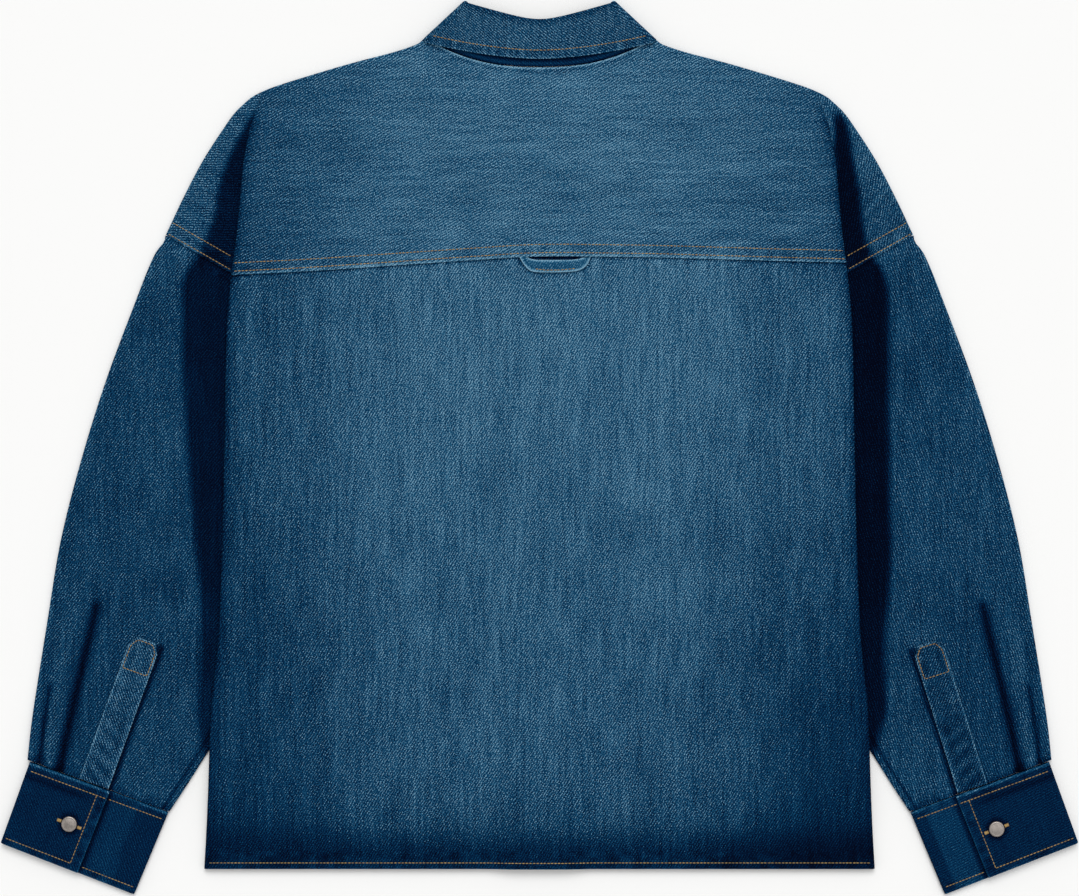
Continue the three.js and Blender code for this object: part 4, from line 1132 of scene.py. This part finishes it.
def sleeve_ring(length, name):
    sign = SIDES[name]["sign"]
    lower_level = mix(FLOOR, CUFF_LEVELS[0], smooth(0.94, 1, length))
    upper = []
    for width in SLEEVE_COLUMNS:
        place = sleeve_place(length, width)
        open_place = smooth(0.02, 0.1, width) * smooth(1, 0.93, width) * smooth(0.02, 0.12, length)
        open_place *= smooth(1, 0.93, length) * smooth(2, 16, place[0] - body_edge(place[1]))
        relief = creased(*place, SLEEVE_CREASES[name]) * open_place
        upper.append((sign * place[0], place[1], upper_level(length, width, place) + relief))
    lower = []
    for width in shares(34)[::-1]:
        place = sleeve_place(length, width)
        lower.append((sign * place[0], place[1], lower_level))
    outer, inner = upper[0], upper[-1]
    outward = Vector((sign * 0.95, 0.3)).normalized()
    inner_turn = half_turn(*inner, lower_level, -sign, 0, 6)
    outer_turn = half_turn(*outer, lower_level, outward.x, outward.y, 8)[::-1]
    ring = upper + inner_turn + lower + outer_turn
    return ring + [ring[0]]


SLEEVE_COLUMNS = sorted(set(
    [round(i / 56, 4) for i in range(57)]
    + [at + d for at, _, _ in PLEATS for d in (-0.006, 0.0, 0.004, 0.008, 0.012, PLEAT_EDGE, 0.022)]))


def onto_sleeve(half, y):
    """Length and width of a place on the sleeve, found step by step."""
    length, width = 0.85, 0.45
    small = 0.001
    for _ in range(12):
        here = sleeve_place(length, width)
        along = sleeve_place(length + small, width)
        aside = sleeve_place(length, width + small)
        a, b = (along[0] - here[0]) / small, (aside[0] - here[0]) / small
        c, d = (along[1] - here[1]) / small, (aside[1] - here[1]) / small
        e, f = half - here[0], y - here[1]
        area = a * d - b * c
        length += (e * d - b * f) / area
        width += (a * f - e * c) / area
    return length, width


def sleeve_marks(name):
    """Wash of a sleeve, with painted shade in the slits beside its pleats, its placket and its felled seams, and
    beside the cuff and the armhole seam.
    """
    lines = []
    for at, _, start in PLEATS:
        steps = [mix(start + 0.05, 1, s) for s in shares(10)]
        lines.append([sleeve_place(length, at + 0.6 * PLEAT_EDGE) for length in steps])
    top = [armhole_seam(s) for s in shares(12)]
    fell = [(inner_edge(y) + 8, y - 1) for y in (-215, -235, -255, -275, -300, -330)]

    def marks(x, y, z):
        half = abs(x)
        wash_and_shade = sleeve_wash_and_shade(x, y, z)
        if y < -90 and z > LOWER_LAYER:
            share, s = onto_placket(SIDES[name], half, y)
            beside = PLACKET_WIDTH * (s - 0.5)
            # Painted shade in the slit beside the placket's edge
            wash_and_shade -= 0.34 * smooth(1.02, 0.98, share) * smooth(5.0, 0.8, abs(beside - 0.6))
            # Painted shade in the slits beside the pleats' folds
            for line, depth, width in zip(lines, (0.24, 0.34), (2.4, 4.2)):
                from_pleat = from_line(half, y, line)
                wash_and_shade -= depth * math.exp(-(from_pleat / width) ** 2)
            from_outer = outer_edge(max(y, -290)) - half
            wash_and_shade += 0.08 * smooth(10, 15, from_outer) * smooth(28, 21, from_outer) * smooth(-130, -180, y)
            wash_and_shade += 0.05 * smooth(70, 90, from_outer) * smooth(-120, -160, y)
            # Painted shade beside the felled seam's edge
            wash_and_shade -= 0.22 * math.exp(-(from_line(half, y, fell) / 1.1) ** 2)
        seam = from_line(half, y, top)
        from_cuff = from_line(half, y, (CUFF_CORNERS[0], CUFF_CORNERS[1]))
        # Painted shade beside the cuff's edge and along the armhole seam, under the edges that lap over the
        # sleeve
        wash_and_shade -= 0.14 * smooth(7, 1, from_cuff) + 0.10 * smooth(5, 1, seam)
        return wash_and_shade, min(seam, from_cuff + 2, 40) * MM, 0.04

    return marks


class SHIRT_OT_sleeves(bpy.types.Operator):
    """Both sleeves, flattened tubes that start along the armhole seam"""
    bl_idname = "shirt.sleeves"
    bl_label = "Sleeves"

    def execute(self, context):
        for name, side in SIDES.items():
            turn = 52 if side["sign"] < 0 else -70
            rows = [sleeve_ring(length, name) for length in shares(124)]
            cloth_piece(
                "sleeve_" + name, [rows], DENIM,
                denim("denim_sleeve_" + name, turn, 1.65, 2.0, shift=(1.3 * side["sign"], 0.7)),
                sleeve_marks(name), lay=lay_flat)
        return {"FINISHED"}


class SHIRT_OT_plackets(bpy.types.Operator):
    """Pointed strips over the slits above the cuffs"""
    bl_idname = "shirt.plackets"
    bl_label = "Sleeve plackets"

    def execute(self, context):
        for name, side in SIDES.items():
            rows = []
            for share in shares(46):
                row = []
                for s in [i / 10 - 0.5 for i in range(11)]:
                    x, y = placket_place(side, share, s)
                    length, width = onto_sleeve(x, y)
                    level = upper_level(min(1, length), width, (x, y))
                    relief = 1.05 * (0.25 - s * s) * math.exp(-((share - 0.25) / 0.25) ** 2)
                    relief *= math.sin(share * 60 + s * 5)
                    row.append((side["sign"] * x, y, level + PLACKET_RISE + relief))
                rows.append(row)

            def marks(x, y, z, side=side):
                share, s = onto_placket(side, abs(x), y)
                edge = min(PLACKET_WIDTH * (0.5 - abs(s)), 140 * (1 - share))
                wash_and_shade = side["placket_wash"] + 0.15 * smooth(2.4, 1.0, edge)
                # Alternating painted light and painted shade across small creases on the lower half of the strip,
                # which also darken it a little overall
                folds = math.sin(PLACKET_FOLDS * share + 6 * s)
                folds *= smooth(0.5, 0.35, share) * smooth(0.42, 0.2, abs(s))
                return wash_and_shade - 0.09 * folds - 0.05 * (folds != 0), edge * MM, edge * MM

            cloth_piece(
                "sleeve_placket_" + name, [rows], PLACKET_CLOTH,
                denim("denim_placket", 50, 1.9, 1.8, shift=(2.1, 0.3), pucker=0.011),
                marks, rim=0.55)
        return {"FINISHED"}


PEAK_LENGTH = 9
PLACKET_FOLDS = 62


def placket_axes(side):
    foot, peak = Vector(side["foot"]), Vector(side["peak"])
    axis = peak - foot
    return foot, axis, Vector((-axis.y, axis.x)).normalized()


def placket_place(side, share, s):
    """A place on a placket: share from its foot at the cuff to its peak, s from -0.5 to 0.5 across."""
    foot, axis, across = placket_axes(side)
    straight = 1 - PEAK_LENGTH / axis.length
    narrow = mix(1, 0.64, clamp((share - straight) / (1 - straight)))
    place = foot + axis * share + across * (PLACKET_WIDTH * s * narrow)
    return place.x, place.y


def onto_placket(side, half, y):
    foot, axis, across = placket_axes(side)
    from_foot = Vector((half, y)) - foot
    return from_foot.dot(axis) / axis.length_squared, from_foot.dot(across) / PLACKET_WIDTH


# Cuffs

def cuff_place(start, down):
    outer_top, inner_top, outer_bottom, inner_bottom = CUFF_CORNERS
    a = start / CUFF_WIDTH
    return mix_point(mix_point(outer_top, inner_top, a), mix_point(outer_bottom, inner_bottom, a), down)


def cuff_section(lap_edge):
    """Distances from the outer fold and levels along a cuff, from its buttonhole end to its button end."""
    lower, upper, lap = CUFF_LEVELS

    def turn(centre, start, stop, side):
        radius = (start - stop) / 2
        return [(centre + side * abs(radius) * math.sin(math.pi * s),
                 stop + radius + radius * math.cos(math.pi * s)) for s in shares(12)]

    outer = (lap - lower) / 2 + CUFF_CLOTH / 2
    inner = CUFF_WIDTH - (upper - lower) / 2 - CUFF_CLOTH / 2
    top = [(mix(lap_edge, outer, s), lap) for s in shares(26)[:-1]]
    under = [(mix(outer, inner, s), lower) for s in shares(12)[1:-1]]
    back = [(mix(inner, lap_edge - CUFF_LAP, s), upper) for s in shares(24)[1:]]
    return top + turn(outer, lap, lower, -1) + under + turn(inner, lower, upper, 1) + back


CUFF_PUCKERS = 9


def cuff_marks(side):
    outer_top, inner_top, outer_bottom, inner_bottom = CUFF_CORNERS
    lap = [cuff_place(side["lap"], 0), cuff_place(side["lap"], 1)]
    button = cuff_place(side["lap"] - BUTTON_FROM_LAP, BUTTON_DOWN)

    def marks(x, y, z):
        half = abs(x)
        top = from_line(half, y, (outer_top, inner_top))
        bottom = from_line(half, y, (outer_bottom, inner_bottom))
        from_lap = from_line(half, y, lap)
        on_top = z > 5.2
        beside = z < 5.0 and from_lap < 30
        wash_and_shade = 0.22 + 0.40 * math.exp(-((top - 1.5) / 0.9) ** 2)
        if on_top:
            # Painted shadow round the button
            wash_and_shade -= 0.16 * smooth(12, 8, math.hypot(half - button[0], y - button[1]))
            puckers = 0.5 + 0.5 * math.cos(2 * math.pi * top / CUFF_PUCKERS)
            # Paler near the lap's edge, with painted shade in the dips of the puckers beside it
            wash_and_shade += 0.05 * smooth(11, 8, from_lap) - 0.13 * puckers * math.exp(-((from_lap - 5) / 2.6) ** 2)
            # Painted shade along a trough below the top edge
            wash_and_shade -= 0.14 * math.exp(-((top - 12.5) / 3) ** 2) * smooth(8, 30, from_lap)
        elif beside:
            # Painted shadow beside the lap's edge
            wash_and_shade = side["under_lap_wash"] - 0.24 * smooth(6, 1.5, from_lap)
        edge = min(top, bottom, from_lap if on_top else 40)
        return wash_and_shade, min(edge, 13) * MM, edge * MM

    return marks


class SHIRT_OT_cuffs(bpy.types.Operator):
    """Cuffs, each one band wound round flat with its buttonhole end on top"""
    bl_idname = "shirt.cuffs"
    bl_label = "Cuffs"

    def execute(self, context):
        for name, side in SIDES.items():
            rows = []
            for down in [0, 0.01, 0.018, 0.026, 0.036, 0.05] + shares(30)[2:]:
                row = []
                for at, z in cuff_section(side["lap"]):
                    half, y = cuff_place(at, down)
                    wave = 0.28 * math.sin(at / 9 + 5 * down) * smooth(0, 0.25, down) * smooth(1, 0.7, down)
                    row.append((side["sign"] * half, y, z + (wave if z == CUFF_LEVELS[2] else 0)))
                rows.append(row)
            turn = 48 if side["sign"] < 0 else 8
            cloth_piece(
                "cuff_" + name, [rows], CUFF_CLOTH,
                denim("denim_cuff_" + name, turn, 1.1, 0.6, shift=(1.7 * side["sign"], 1.1), pucker=0.010),
                cuff_marks(side), rim=0.8)
        return {"FINISHED"}


# Collar

def collar_ring(radius, back_place, corner, front_place):
    """A full turn of the collar, from one front edge round the back of the neck to the other."""
    back = []
    for i in range(-34, 35):
        s = i / 34
        half, y = back_place(abs(s))
        back.append((math.copysign(half, s) if i else 0.0, y, COLLAR_MIDDLE + radius))
    ring = []
    for sign in (-1, 1):
        turn = half_turn(sign * corner[0], corner[1], COLLAR_MIDDLE + radius, COLLAR_MIDDLE - radius,
                         sign * CORNER_OUT[0], CORNER_OUT[1], 8)
        front = [corner] + [front_place(f) for f in shares(22)[1:]]
        ring.append(turn + [(sign * half, y, COLLAR_MIDDLE - radius) for half, y in front])
    return ring[0][::-1] + back + ring[1]


def roll_back(t):
    rise = (math.hypot(t, ROLL_ROUND) - ROLL_ROUND) / (math.hypot(1, ROLL_ROUND) - ROLL_ROUND)
    return (ROLL_CORNER[0] * t, mix(ROLL_BACK, ROLL_CORNER[1], rise))


def fall_back(t):
    return (FALL_CORNER[0] * t, mix(FALL_BACK, FALL_CORNER[1], t ** FALL_POWER))


def roll_front(f):
    return (mix(ROLL_CORNER[0], ROLL_FRONT[0], f), mix(ROLL_FRONT[1], ROLL_CORNER[1], (1 - f) ** 1.8))


def fall_front(f):
    return mix_point(FALL_CORNER, LEAF_POINT, f ** 0.9)


def fall_ring(radius, s):
    return collar_ring(
        radius, lambda t: mix_point(roll_back(t), fall_back(t), s), mix_point(ROLL_CORNER, FALL_CORNER, s),
        lambda f: mix_point(roll_front(f), fall_front(f), s))


def stand_ring(up):
    s = up * STAND_TOP

    def neck_front(f):
        half = mix(STAND_CORNER[0], 1, f)
        return (half, mix(NECK_FRONT[0] + 0.5, STAND_CORNER[1], (half / STAND_CORNER[0]) ** NECK_FRONT[1]))

    def neck_back(t):
        return (STAND_CORNER[0] * t, mix(NECK_BACK[0] + 0.6, STAND_CORNER[1], t ** NECK_BACK[1]))

    return collar_ring(
        STAND_RADIUS, lambda t: mix_point(neck_back(t), roll_back(t), s),
        mix_point(STAND_CORNER, ROLL_CORNER, s), lambda f: mix_point(neck_front(f), roll_front(f), s))


FALL_EDGE = [fall_back(t) for t in shares(16)]
FALL_EDGE_FRONT = [fall_front(f) for f in shares(8)] + [ROLL_FRONT]
NECK_LINE = [(STAND_CORNER[0] * t, mix(NECK_BACK[0], STAND_CORNER[1], t ** NECK_BACK[1])) for t in shares(16)]


def fall_marks(x, y, z):
    half = abs(x)
    edge = from_line(half, y, FALL_EDGE if z > COLLAR_MIDDLE else FALL_EDGE_FRONT)
    roll = from_line(half, y, [roll_back(t) for t in shares(8)]) if z > COLLAR_MIDDLE else 30
    wash_and_shade = 0.465 - 0.14 * smooth(6, 0, roll) - 0.07 * smooth(60, 96, half)
    puckers = 0.5 + 0.5 * math.sin(x * 0.93 + 1.3 * math.sin(x * 0.21))
    # Along the stitched edge, a little paler between the puckers, with painted shade in their dips
    wash_and_shade += (0.05 - 0.19 * puckers) * smooth(7.2, 5.5, edge) * smooth(0.6, 2.0, edge)
    return wash_and_shade, min(edge, 30) * MM, edge * MM


def stand_marks(x, y, z):
    edge = from_line(abs(x), y, NECK_LINE) if z > COLLAR_MIDDLE else 20
    return 0.14 + 0.20 * math.exp(-((edge - 3.0) / 1.6) ** 2), 0.04, 0.04


class SHIRT_OT_collar(bpy.types.Operator):
    """Collar stand, sewn to the neck, and the fall that turns down over it"""
    bl_idname = "shirt.collar"
    bl_label = "Collar"

    def execute(self, context):
        ups = [0, 0.02, 0.04, 0.06, 0.08, 0.1, 0.13] + shares(12)[2:]
        cloth_piece(
            "collar_stand", [[stand_ring(up) for up in ups]], COLLAR_CLOTH,
            denim("denim_stand", 40, 0.9, 0.6, shift=(2.9, 0.3)), stand_marks, rim=0.7)
        rows = [fall_ring(FALL_RADIUS, s) for s in shares(18)[::-1]]
        roll = (FALL_RADIUS - STAND_RADIUS) / 2
        for turn in shares(6)[1:]:
            radius = STAND_RADIUS + roll + roll * math.cos(math.pi * turn)
            rows.append(fall_ring(radius, -roll * math.sin(math.pi * turn) / FALL_DEPTH))
        cloth_piece(
            "collar_fall", [rows], COLLAR_CLOTH,
            denim("denim_fall", 40, 1.9, 1.6, shift=(3.3, 0.9), pucker=0.011), fall_marks,
            rim=0.7)
        return {"FINISHED"}


# Locker loop

LOOP_RISE = 1.8


def loop_places():
    table = list(zip(*[[row[k] for row in LOOP] for k in range(4)]))
    curves = [through(list(enumerate(column))) for column in zip(*table)]
    rows = []
    for i in range(57):
        at = i / 8
        outer_x, outer_y, inner_x, inner_y = (curve(at) for curve in curves)
        row = []
        for s in shares(8):
            x, y = mix(outer_x, inner_x, s), mix(outer_y, inner_y, s)
            arch = 0.5 * math.sin(math.pi * s) + 0.25 * math.sin(at * 5.2)
            arch *= smooth(0, 1.2, min(at, 7 - at))
            row.append((x, y, back_level(abs(x), y, body_edge(y), 0) + LOOP_RISE + arch))
        rows.append(row)
    return rows


def loop_marks(x, y, z):
    outer = from_line(x, y, LOOP_OUTER)
    inner = from_line(x, y, [(row[2], row[3]) for row in LOOP])
    edge = min(outer, inner)
    return 0.60 + 0.24 * smooth(2.4, 1.0, edge), 0.04, edge * MM


class SHIRT_OT_loop(bpy.types.Operator):
    """Locker loop under the middle of the yoke"""
    bl_idname = "shirt.locker_loop"
    bl_label = "Locker loop"

    def execute(self, context):
        cloth_piece(
            "locker_loop", [loop_places()], DENIM, denim("denim_loop", 25, shift=(4.1, 0.9), pucker=0.004),
            loop_marks, rim=0.45)
        return {"FINISHED"}


# Buttons

def button_piece(node):
    """A domed metal button with a rounded rim and a shallow rolled edge, spun round its own axis."""
    low, high = (Vector(corner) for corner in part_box(node))
    centre = (low + high) / 2
    radius = (high.x - low.x) / 2
    thick = high.z - low.z
    profile = [
        (0.0, 0.0), (0.72, 0.0), (0.9, 0.06), (1.0, 0.3), (1.0, 0.52), (0.96, 0.72), (0.88, 0.84),
        (0.82, 0.85), (0.78, 0.82), (0.7, 0.86), (0.5, 0.94), (0.25, 0.985), (0.0, 1.0),
    ]
    bm = bmesh.new()
    points = [bm.verts.new((r * radius, 0, z * thick)) for r, z in profile]
    lines = [bm.edges.new(pair) for pair in zip(points, points[1:])]
    bmesh.ops.spin(bm, geom=points + lines, cent=(0, 0, 0), axis=(0, 0, 1), angle=2 * math.pi, steps=40,
                   use_merge=True)
    bmesh.ops.remove_doubles(bm, verts=bm.verts, dist=1e-6)
    bmesh.ops.recalc_face_normals(bm, faces=bm.faces)
    bmesh.ops.translate(bm, verts=bm.verts, vec=(centre.x, centre.y, low.z))
    return finished(node + "_metal", bm, metal_material(), node)


class SHIRT_OT_buttons(bpy.types.Operator):
    """Metal buttons of the cuffs, the front and the collar"""
    bl_idname = "shirt.buttons"
    bl_label = "Buttons"

    def execute(self, context):
        names = ["cuff_button_left", "cuff_button_right", "collar_button"]
        names += [f"front_button_{i}" for i in range(1, 7)]
        for name in names:
            button_piece(name)
        return {"FINISHED"}


# Stitching

class Seamstress:
    """Lays stitches on a finished cloth piece, from above or from below."""

    def __init__(self, name, cloths, below=False):
        self.name = name
        self.bm = bmesh.new()
        self.below = below
        self.random = random.Random(name)
        graph = bpy.context.evaluated_depsgraph_get()
        self.covers = [BVHTree.FromObject(bpy.data.objects[cloth + "_cloth"], graph) for cloth in cloths]

    def touch(self, x, y):
        """The surface's height there, seen from the stitching side."""
        start, way = (-0.1, 1) if self.below else (0.1, -1)
        hits = [cover.ray_cast(Vector((x, y, start)), Vector((0, 0, way)))[0] for cover in self.covers]
        levels = [hit.z for hit in hits if hit]
        if not levels:
            return None
        return min(levels) if self.below else max(levels)

    def stitch(self, start, stop, radius, lift=0.35):
        heights = [self.touch(*start), self.touch(*stop)]
        if None in heights or abs(heights[0] - heights[1]) > 0.0025:
            return
        side = -1 if self.below else 1
        a = Vector((*start, heights[0] + side * radius * lift))
        b = Vector((*stop, heights[1] + side * radius * lift))
        along = b - a
        turn = along.to_track_quat("X", "Z").to_matrix().to_4x4()
        size = Matrix.Diagonal((along.length / 2, radius, radius * 0.8, 1))
        bmesh.ops.create_uvsphere(self.bm, u_segments=6, v_segments=4, radius=1,
                                  matrix=Matrix.Translation((a + b) / 2) @ turn @ size)

    def row(self, line, skip=()):
        """A row of stitches along points in millimetres."""
        sizes = bpy.context.scene.shirt_sizes
        points = [Vector(p) * MM for p in line]
        lengths = [0.0]
        for a, b in zip(points, points[1:]):
            lengths.append(lengths[-1] + (b - a).length)

        def at(distance):
            i = 0
            while i < len(points) - 2 and lengths[i + 1] < distance:
                i += 1
            share = (distance - lengths[i]) / max(1e-9, lengths[i + 1] - lengths[i])
            return points[i].lerp(points[i + 1], clamp(share))

        count = max(1, round(lengths[-1] / sizes.stitch_pitch))
        pitch = lengths[-1] / count
        for k in range(count):
            wander = self.random.uniform(-0.05, 0.05) * pitch
            start, stop = at(k * pitch + 0.03 * pitch + wander), at((k + 1) * pitch - 0.03 * pitch + wander)
            self.stitch(start, stop, sizes.thread * self.random.uniform(0.44, 0.54))

    def bartack(self, middle, along, length, width=2.2, count=9):
        """A close bar of stitches across a line: middle, direction of the bar and its length."""
        way = Vector(along).normalized()
        aside = Vector((-way.y, way.x))
        centre = Vector(middle)
        for k in range(count):
            place = centre + way * length * (k / (count - 1) - 0.5)
            start, stop = place - aside * width / 2, place + aside * width / 2
            self.stitch(start * MM, stop * MM, 0.42 * MM, 0.6)

    def done(self):
        return finished(self.name, self.bm, thread_material())


def seam_points(line, first, last, step=6):
    """Places along a curve y of x."""
    count = max(2, round(abs(last - first) / step))
    return [(mix(first, last, s), line(mix(first, last, s))) for s in shares(count)]


# How far stitch rows lie from the edges that they hold
YOKE_ROWS = (3.3, 10.7)
ARMHOLE_ROWS = (1.6, 12.8)
HEM_ROW = 5.6
COLLAR_ROW = 7.6
CUFF_TOP_ROW = 7.4
CUFF_LOW_ROW = 6
CUFF_END_ROW = 9.5
BAND_ROW = 11.5
HOLE_HALF = 9.5
BOX_LENGTH = 30
PLACKET_LENGTH = 137


class SHIRT_OT_stitching(bpy.types.Operator):
    """Ochre stitch rows on every seam that shows, and on the hidden front"""
    bl_idname = "shirt.stitching"
    bl_label = "Stitching"

    def execute(self, context):
        body = Seamstress("body_stitches", ["back_yoke", "back_panel", "locker_loop"])
        for above in YOKE_ROWS:
            body.row(seam_points(lambda x: yoke_seam(x) - LAP + above, -274, 274))
        body.row(seam_points(lambda x: HEM_Y + HEM_ROW, -297, 297))
        body.row([(-4, 160.6), (6, 159.4), (20, 159.6), (32, 161)])
        for sign in (-1, 1):
            ends = pleat(1, sign)["end"]
            for up in ARMHOLE_ROWS:
                path = [mix_point(ends, SLEEVE_TOP, s) for s in shares(60)]
                path = [(half - 0.35 * up, y + 0.9 * up) for half, y in path]
                body.row([(sign * half, y) for half, y in path if half > body_edge(y) + 1.2])
        body.done()

        collar = Seamstress("collar_stitches", ["collar_fall"])
        both = [(-half, y) for half, y in FALL_EDGE[::-1]] + FALL_EDGE[1:]
        collar.row([(x, y + COLLAR_ROW) for x, y in both if abs(x) < 98])
        collar.done()

        cuffs = Seamstress("cuff_stitches", ["cuff_left", "cuff_right"])
        plackets = Seamstress("placket_stitches", ["sleeve_placket_left", "sleeve_placket_right"])
        for side in SIDES.values():
            sign, lap = side["sign"], side["lap"]

            def cuff(at, down):
                half, y = cuff_place(at, down / CUFF_HEIGHT)
                return (sign * half, y)

            top, low, end = CUFF_TOP_ROW, CUFF_HEIGHT - CUFF_LOW_ROW, lap - CUFF_END_ROW
            for start, stop in (
                ((4, top), (lap - 1, top)), ((lap + 1.5, top), (CUFF_WIDTH - 3, top)),
                ((end, top), (end, low)), ((3, low), (end, low)), ((lap + 1.5, low), (CUFF_WIDTH - 3, low)),
            ):
                cuffs.row([cuff(*start), cuff(*stop)])
            button = lap - BUTTON_FROM_LAP
            hole = Vector(cuff(button + HOLE_HALF, CUFF_HEIGHT / 2))
            hole -= Vector(cuff(button - HOLE_HALF, CUFF_HEIGHT / 2))
            middle = Vector(cuff(button, CUFF_HEIGHT * BUTTON_DOWN))
            for end in (-0.5, 0.5):
                cuffs.bartack(middle + hole * end * 1.02, hole, 3.2, 3.4, 7)

            def strip(share, s):
                x, y = placket_place(side, share, s)
                return (sign * x, y)

            box = 1 - BOX_LENGTH / PLACKET_LENGTH
            tip = 1 - PEAK_LENGTH / PLACKET_LENGTH
            peak = [
                (box, -0.42), (tip, -0.42), (0.985, -0.36), (0.985, 0.36), (tip, 0.42), (box, 0.42), (box, -0.42),
            ]
            plackets.row([strip(*place) for place in peak])
        cuffs.done()
        plackets.done()

        cloths = ["front_left", "front_right", "buttonhole_band", "button_band"]
        front = Seamstress("front_stitches", cloths, below=True)
        for x in (-BAND_ROW, BAND_ROW):
            front.row([(x, 280), (x, -374)])
        front.row([(-292, HEM_Y + HEM_ROW), (-18, HEM_Y + HEM_ROW)])
        front.row([(22, HEM_Y + HEM_ROW), (292, HEM_Y + HEM_ROW)])
        for y in FRONT_BUTTONS:
            for end in (-HOLE_HALF, HOLE_HALF):
                front.bartack((0, y + end), (0, 1), 3, 3, 6)
        front.done()
        return {"FINISHED"}


# Stage

FLOOR_Z = -0.0006                             # a little under the shirt, so that nothing lies in it
PICTURE_WIDTH = 0.9711                        # metres across the picture
LAMPS = (                                     # name, turn in degrees, strength and spread in degrees
    ("window", (-38, 0, 0), 1.25, 35),
    ("fill", (-10, 26, 0), 0.45, 60),
)


class SHIRT_OT_stage(bpy.types.Operator):
    """Pale floor, soft light from above, and the camera straight over the shirt"""
    bl_idname = "shirt.stage"
    bl_label = "Floor, light and camera"

    def execute(self, context):
        scene = context.scene
        colours = scene.shirt_colours
        bm = bmesh.new()
        bmesh.ops.create_grid(bm, x_segments=1, y_segments=1, size=4.0)
        bmesh.ops.translate(bm, verts=bm.verts, vec=(0, 0, FLOOR_Z))
        mesh = bpy.data.meshes.new("floor")
        bm.to_mesh(mesh)
        bm.free()
        floor = bpy.data.objects.new("floor", mesh)
        scene.collection.objects.link(floor)
        material, _, shader = materials_root("pale_floor")
        shader.inputs["Base Color"].default_value = tuple(colours.floor)
        shader.inputs["Roughness"].default_value = 0.9
        mesh.materials.append(material)

        world = bpy.data.worlds.new("soft_room")
        world.use_nodes = True
        world.node_tree.nodes["Background"].inputs["Color"].default_value = (1.0, 1.0, 1.0, 1.0)
        world.node_tree.nodes["Background"].inputs["Strength"].default_value = 0.55
        scene.world = world
        for name, turn, strength, spread in LAMPS:
            data = bpy.data.lights.new(name, "SUN")
            data.energy = strength
            data.angle = math.radians(spread)
            lamp = bpy.data.objects.new(name, data)
            lamp.rotation_euler = [math.radians(angle) for angle in turn]
            scene.collection.objects.link(lamp)

        lens = bpy.data.cameras.new("overhead")
        lens.lens = 100
        lens.sensor_width = 36
        camera = bpy.data.objects.new("overhead", lens)
        camera.location = (0.0, 0.0, PICTURE_WIDTH * lens.lens / lens.sensor_width)
        scene.collection.objects.link(camera)
        scene.camera = camera
        scene.view_settings.view_transform = "Standard"
        return {"FINISHED"}


# Add-on

def length(name, description, default):
    return bpy.props.FloatProperty(
        name=name, description=description, default=default, unit="LENGTH", precision=5)


def colour(name, description, *screen):
    return bpy.props.FloatVectorProperty(
        name=name, description=description, default=srgb(*screen), subtype="COLOR", size=4)


class ShirtSizes(bpy.types.PropertyGroup):
    """Sizes of the weave and the sewing"""
    wale: length("Wale", "Distance between two ribs of the twill", 0.0022)
    thread: length("Thread", "Thickness of the sewing thread", 0.0009)
    stitch_pitch: length("Stitch", "Length of one stitch with its gap", 0.0032)


class ShirtColours(bpy.types.PropertyGroup):
    """Colours of the cloth, thread, metal and floor"""
    dark: colour("Dark", "Unwashed cloth, as on the cuffs", 0, 23, 55)
    indigo: colour("Indigo", "The sleeves", 6, 58, 94)
    washed: colour("Washed", "The back and yoke", 30, 89, 122)
    pale: colour("Pale", "Worn threads", 66, 119, 150)
    thread: colour("Thread", "Stitching", 182, 150, 90)
    thread_dark: colour("Thread, dark", "Stitching in its shaded parts", 122, 98, 58)
    metal: colour("Metal", "Buttons", 172, 164, 158)
    floor: colour("Floor", "The surface that the shirt lies on", 252, 252, 251)


PIECES = (
    SHIRT_OT_yoke, SHIRT_OT_back, SHIRT_OT_fronts, SHIRT_OT_sleeves, SHIRT_OT_plackets, SHIRT_OT_cuffs,
    SHIRT_OT_collar, SHIRT_OT_loop, SHIRT_OT_buttons, SHIRT_OT_stitching, SHIRT_OT_stage,
)


class SHIRT_PT_panel(bpy.types.Panel):
    """Lists the shirt's pieces in the order in which they are made"""
    bl_idname = "SHIRT_PT_panel"
    bl_label = "Denim shirt"
    bl_space_type = "VIEW_3D"
    bl_region_type = "UI"
    bl_category = "Shirt"

    def draw(self, context):
        column = self.layout.column()
        for piece in PIECES:
            column.operator(piece.bl_idname)
        for group in (context.scene.shirt_sizes, context.scene.shirt_colours):
            for key in group.__annotations__:
                column.prop(group, key)


CLASSES = (ShirtSizes, ShirtColours, *PIECES, SHIRT_PT_panel)


def register():
    for item in CLASSES:
        bpy.utils.register_class(item)
    bpy.types.Scene.shirt_sizes = bpy.props.PointerProperty(type=ShirtSizes)
    bpy.types.Scene.shirt_colours = bpy.props.PointerProperty(type=ShirtColours)


def unregister():
    del bpy.types.Scene.shirt_colours
    del bpy.types.Scene.shirt_sizes
    for item in reversed(CLASSES):
        bpy.utils.unregister_class(item)


def main():
    register()
    for piece in PIECES:
        family, name = piece.bl_idname.split(".")
        getattr(getattr(bpy.ops, family), name)()


if __name__ == "__main__":
    main()
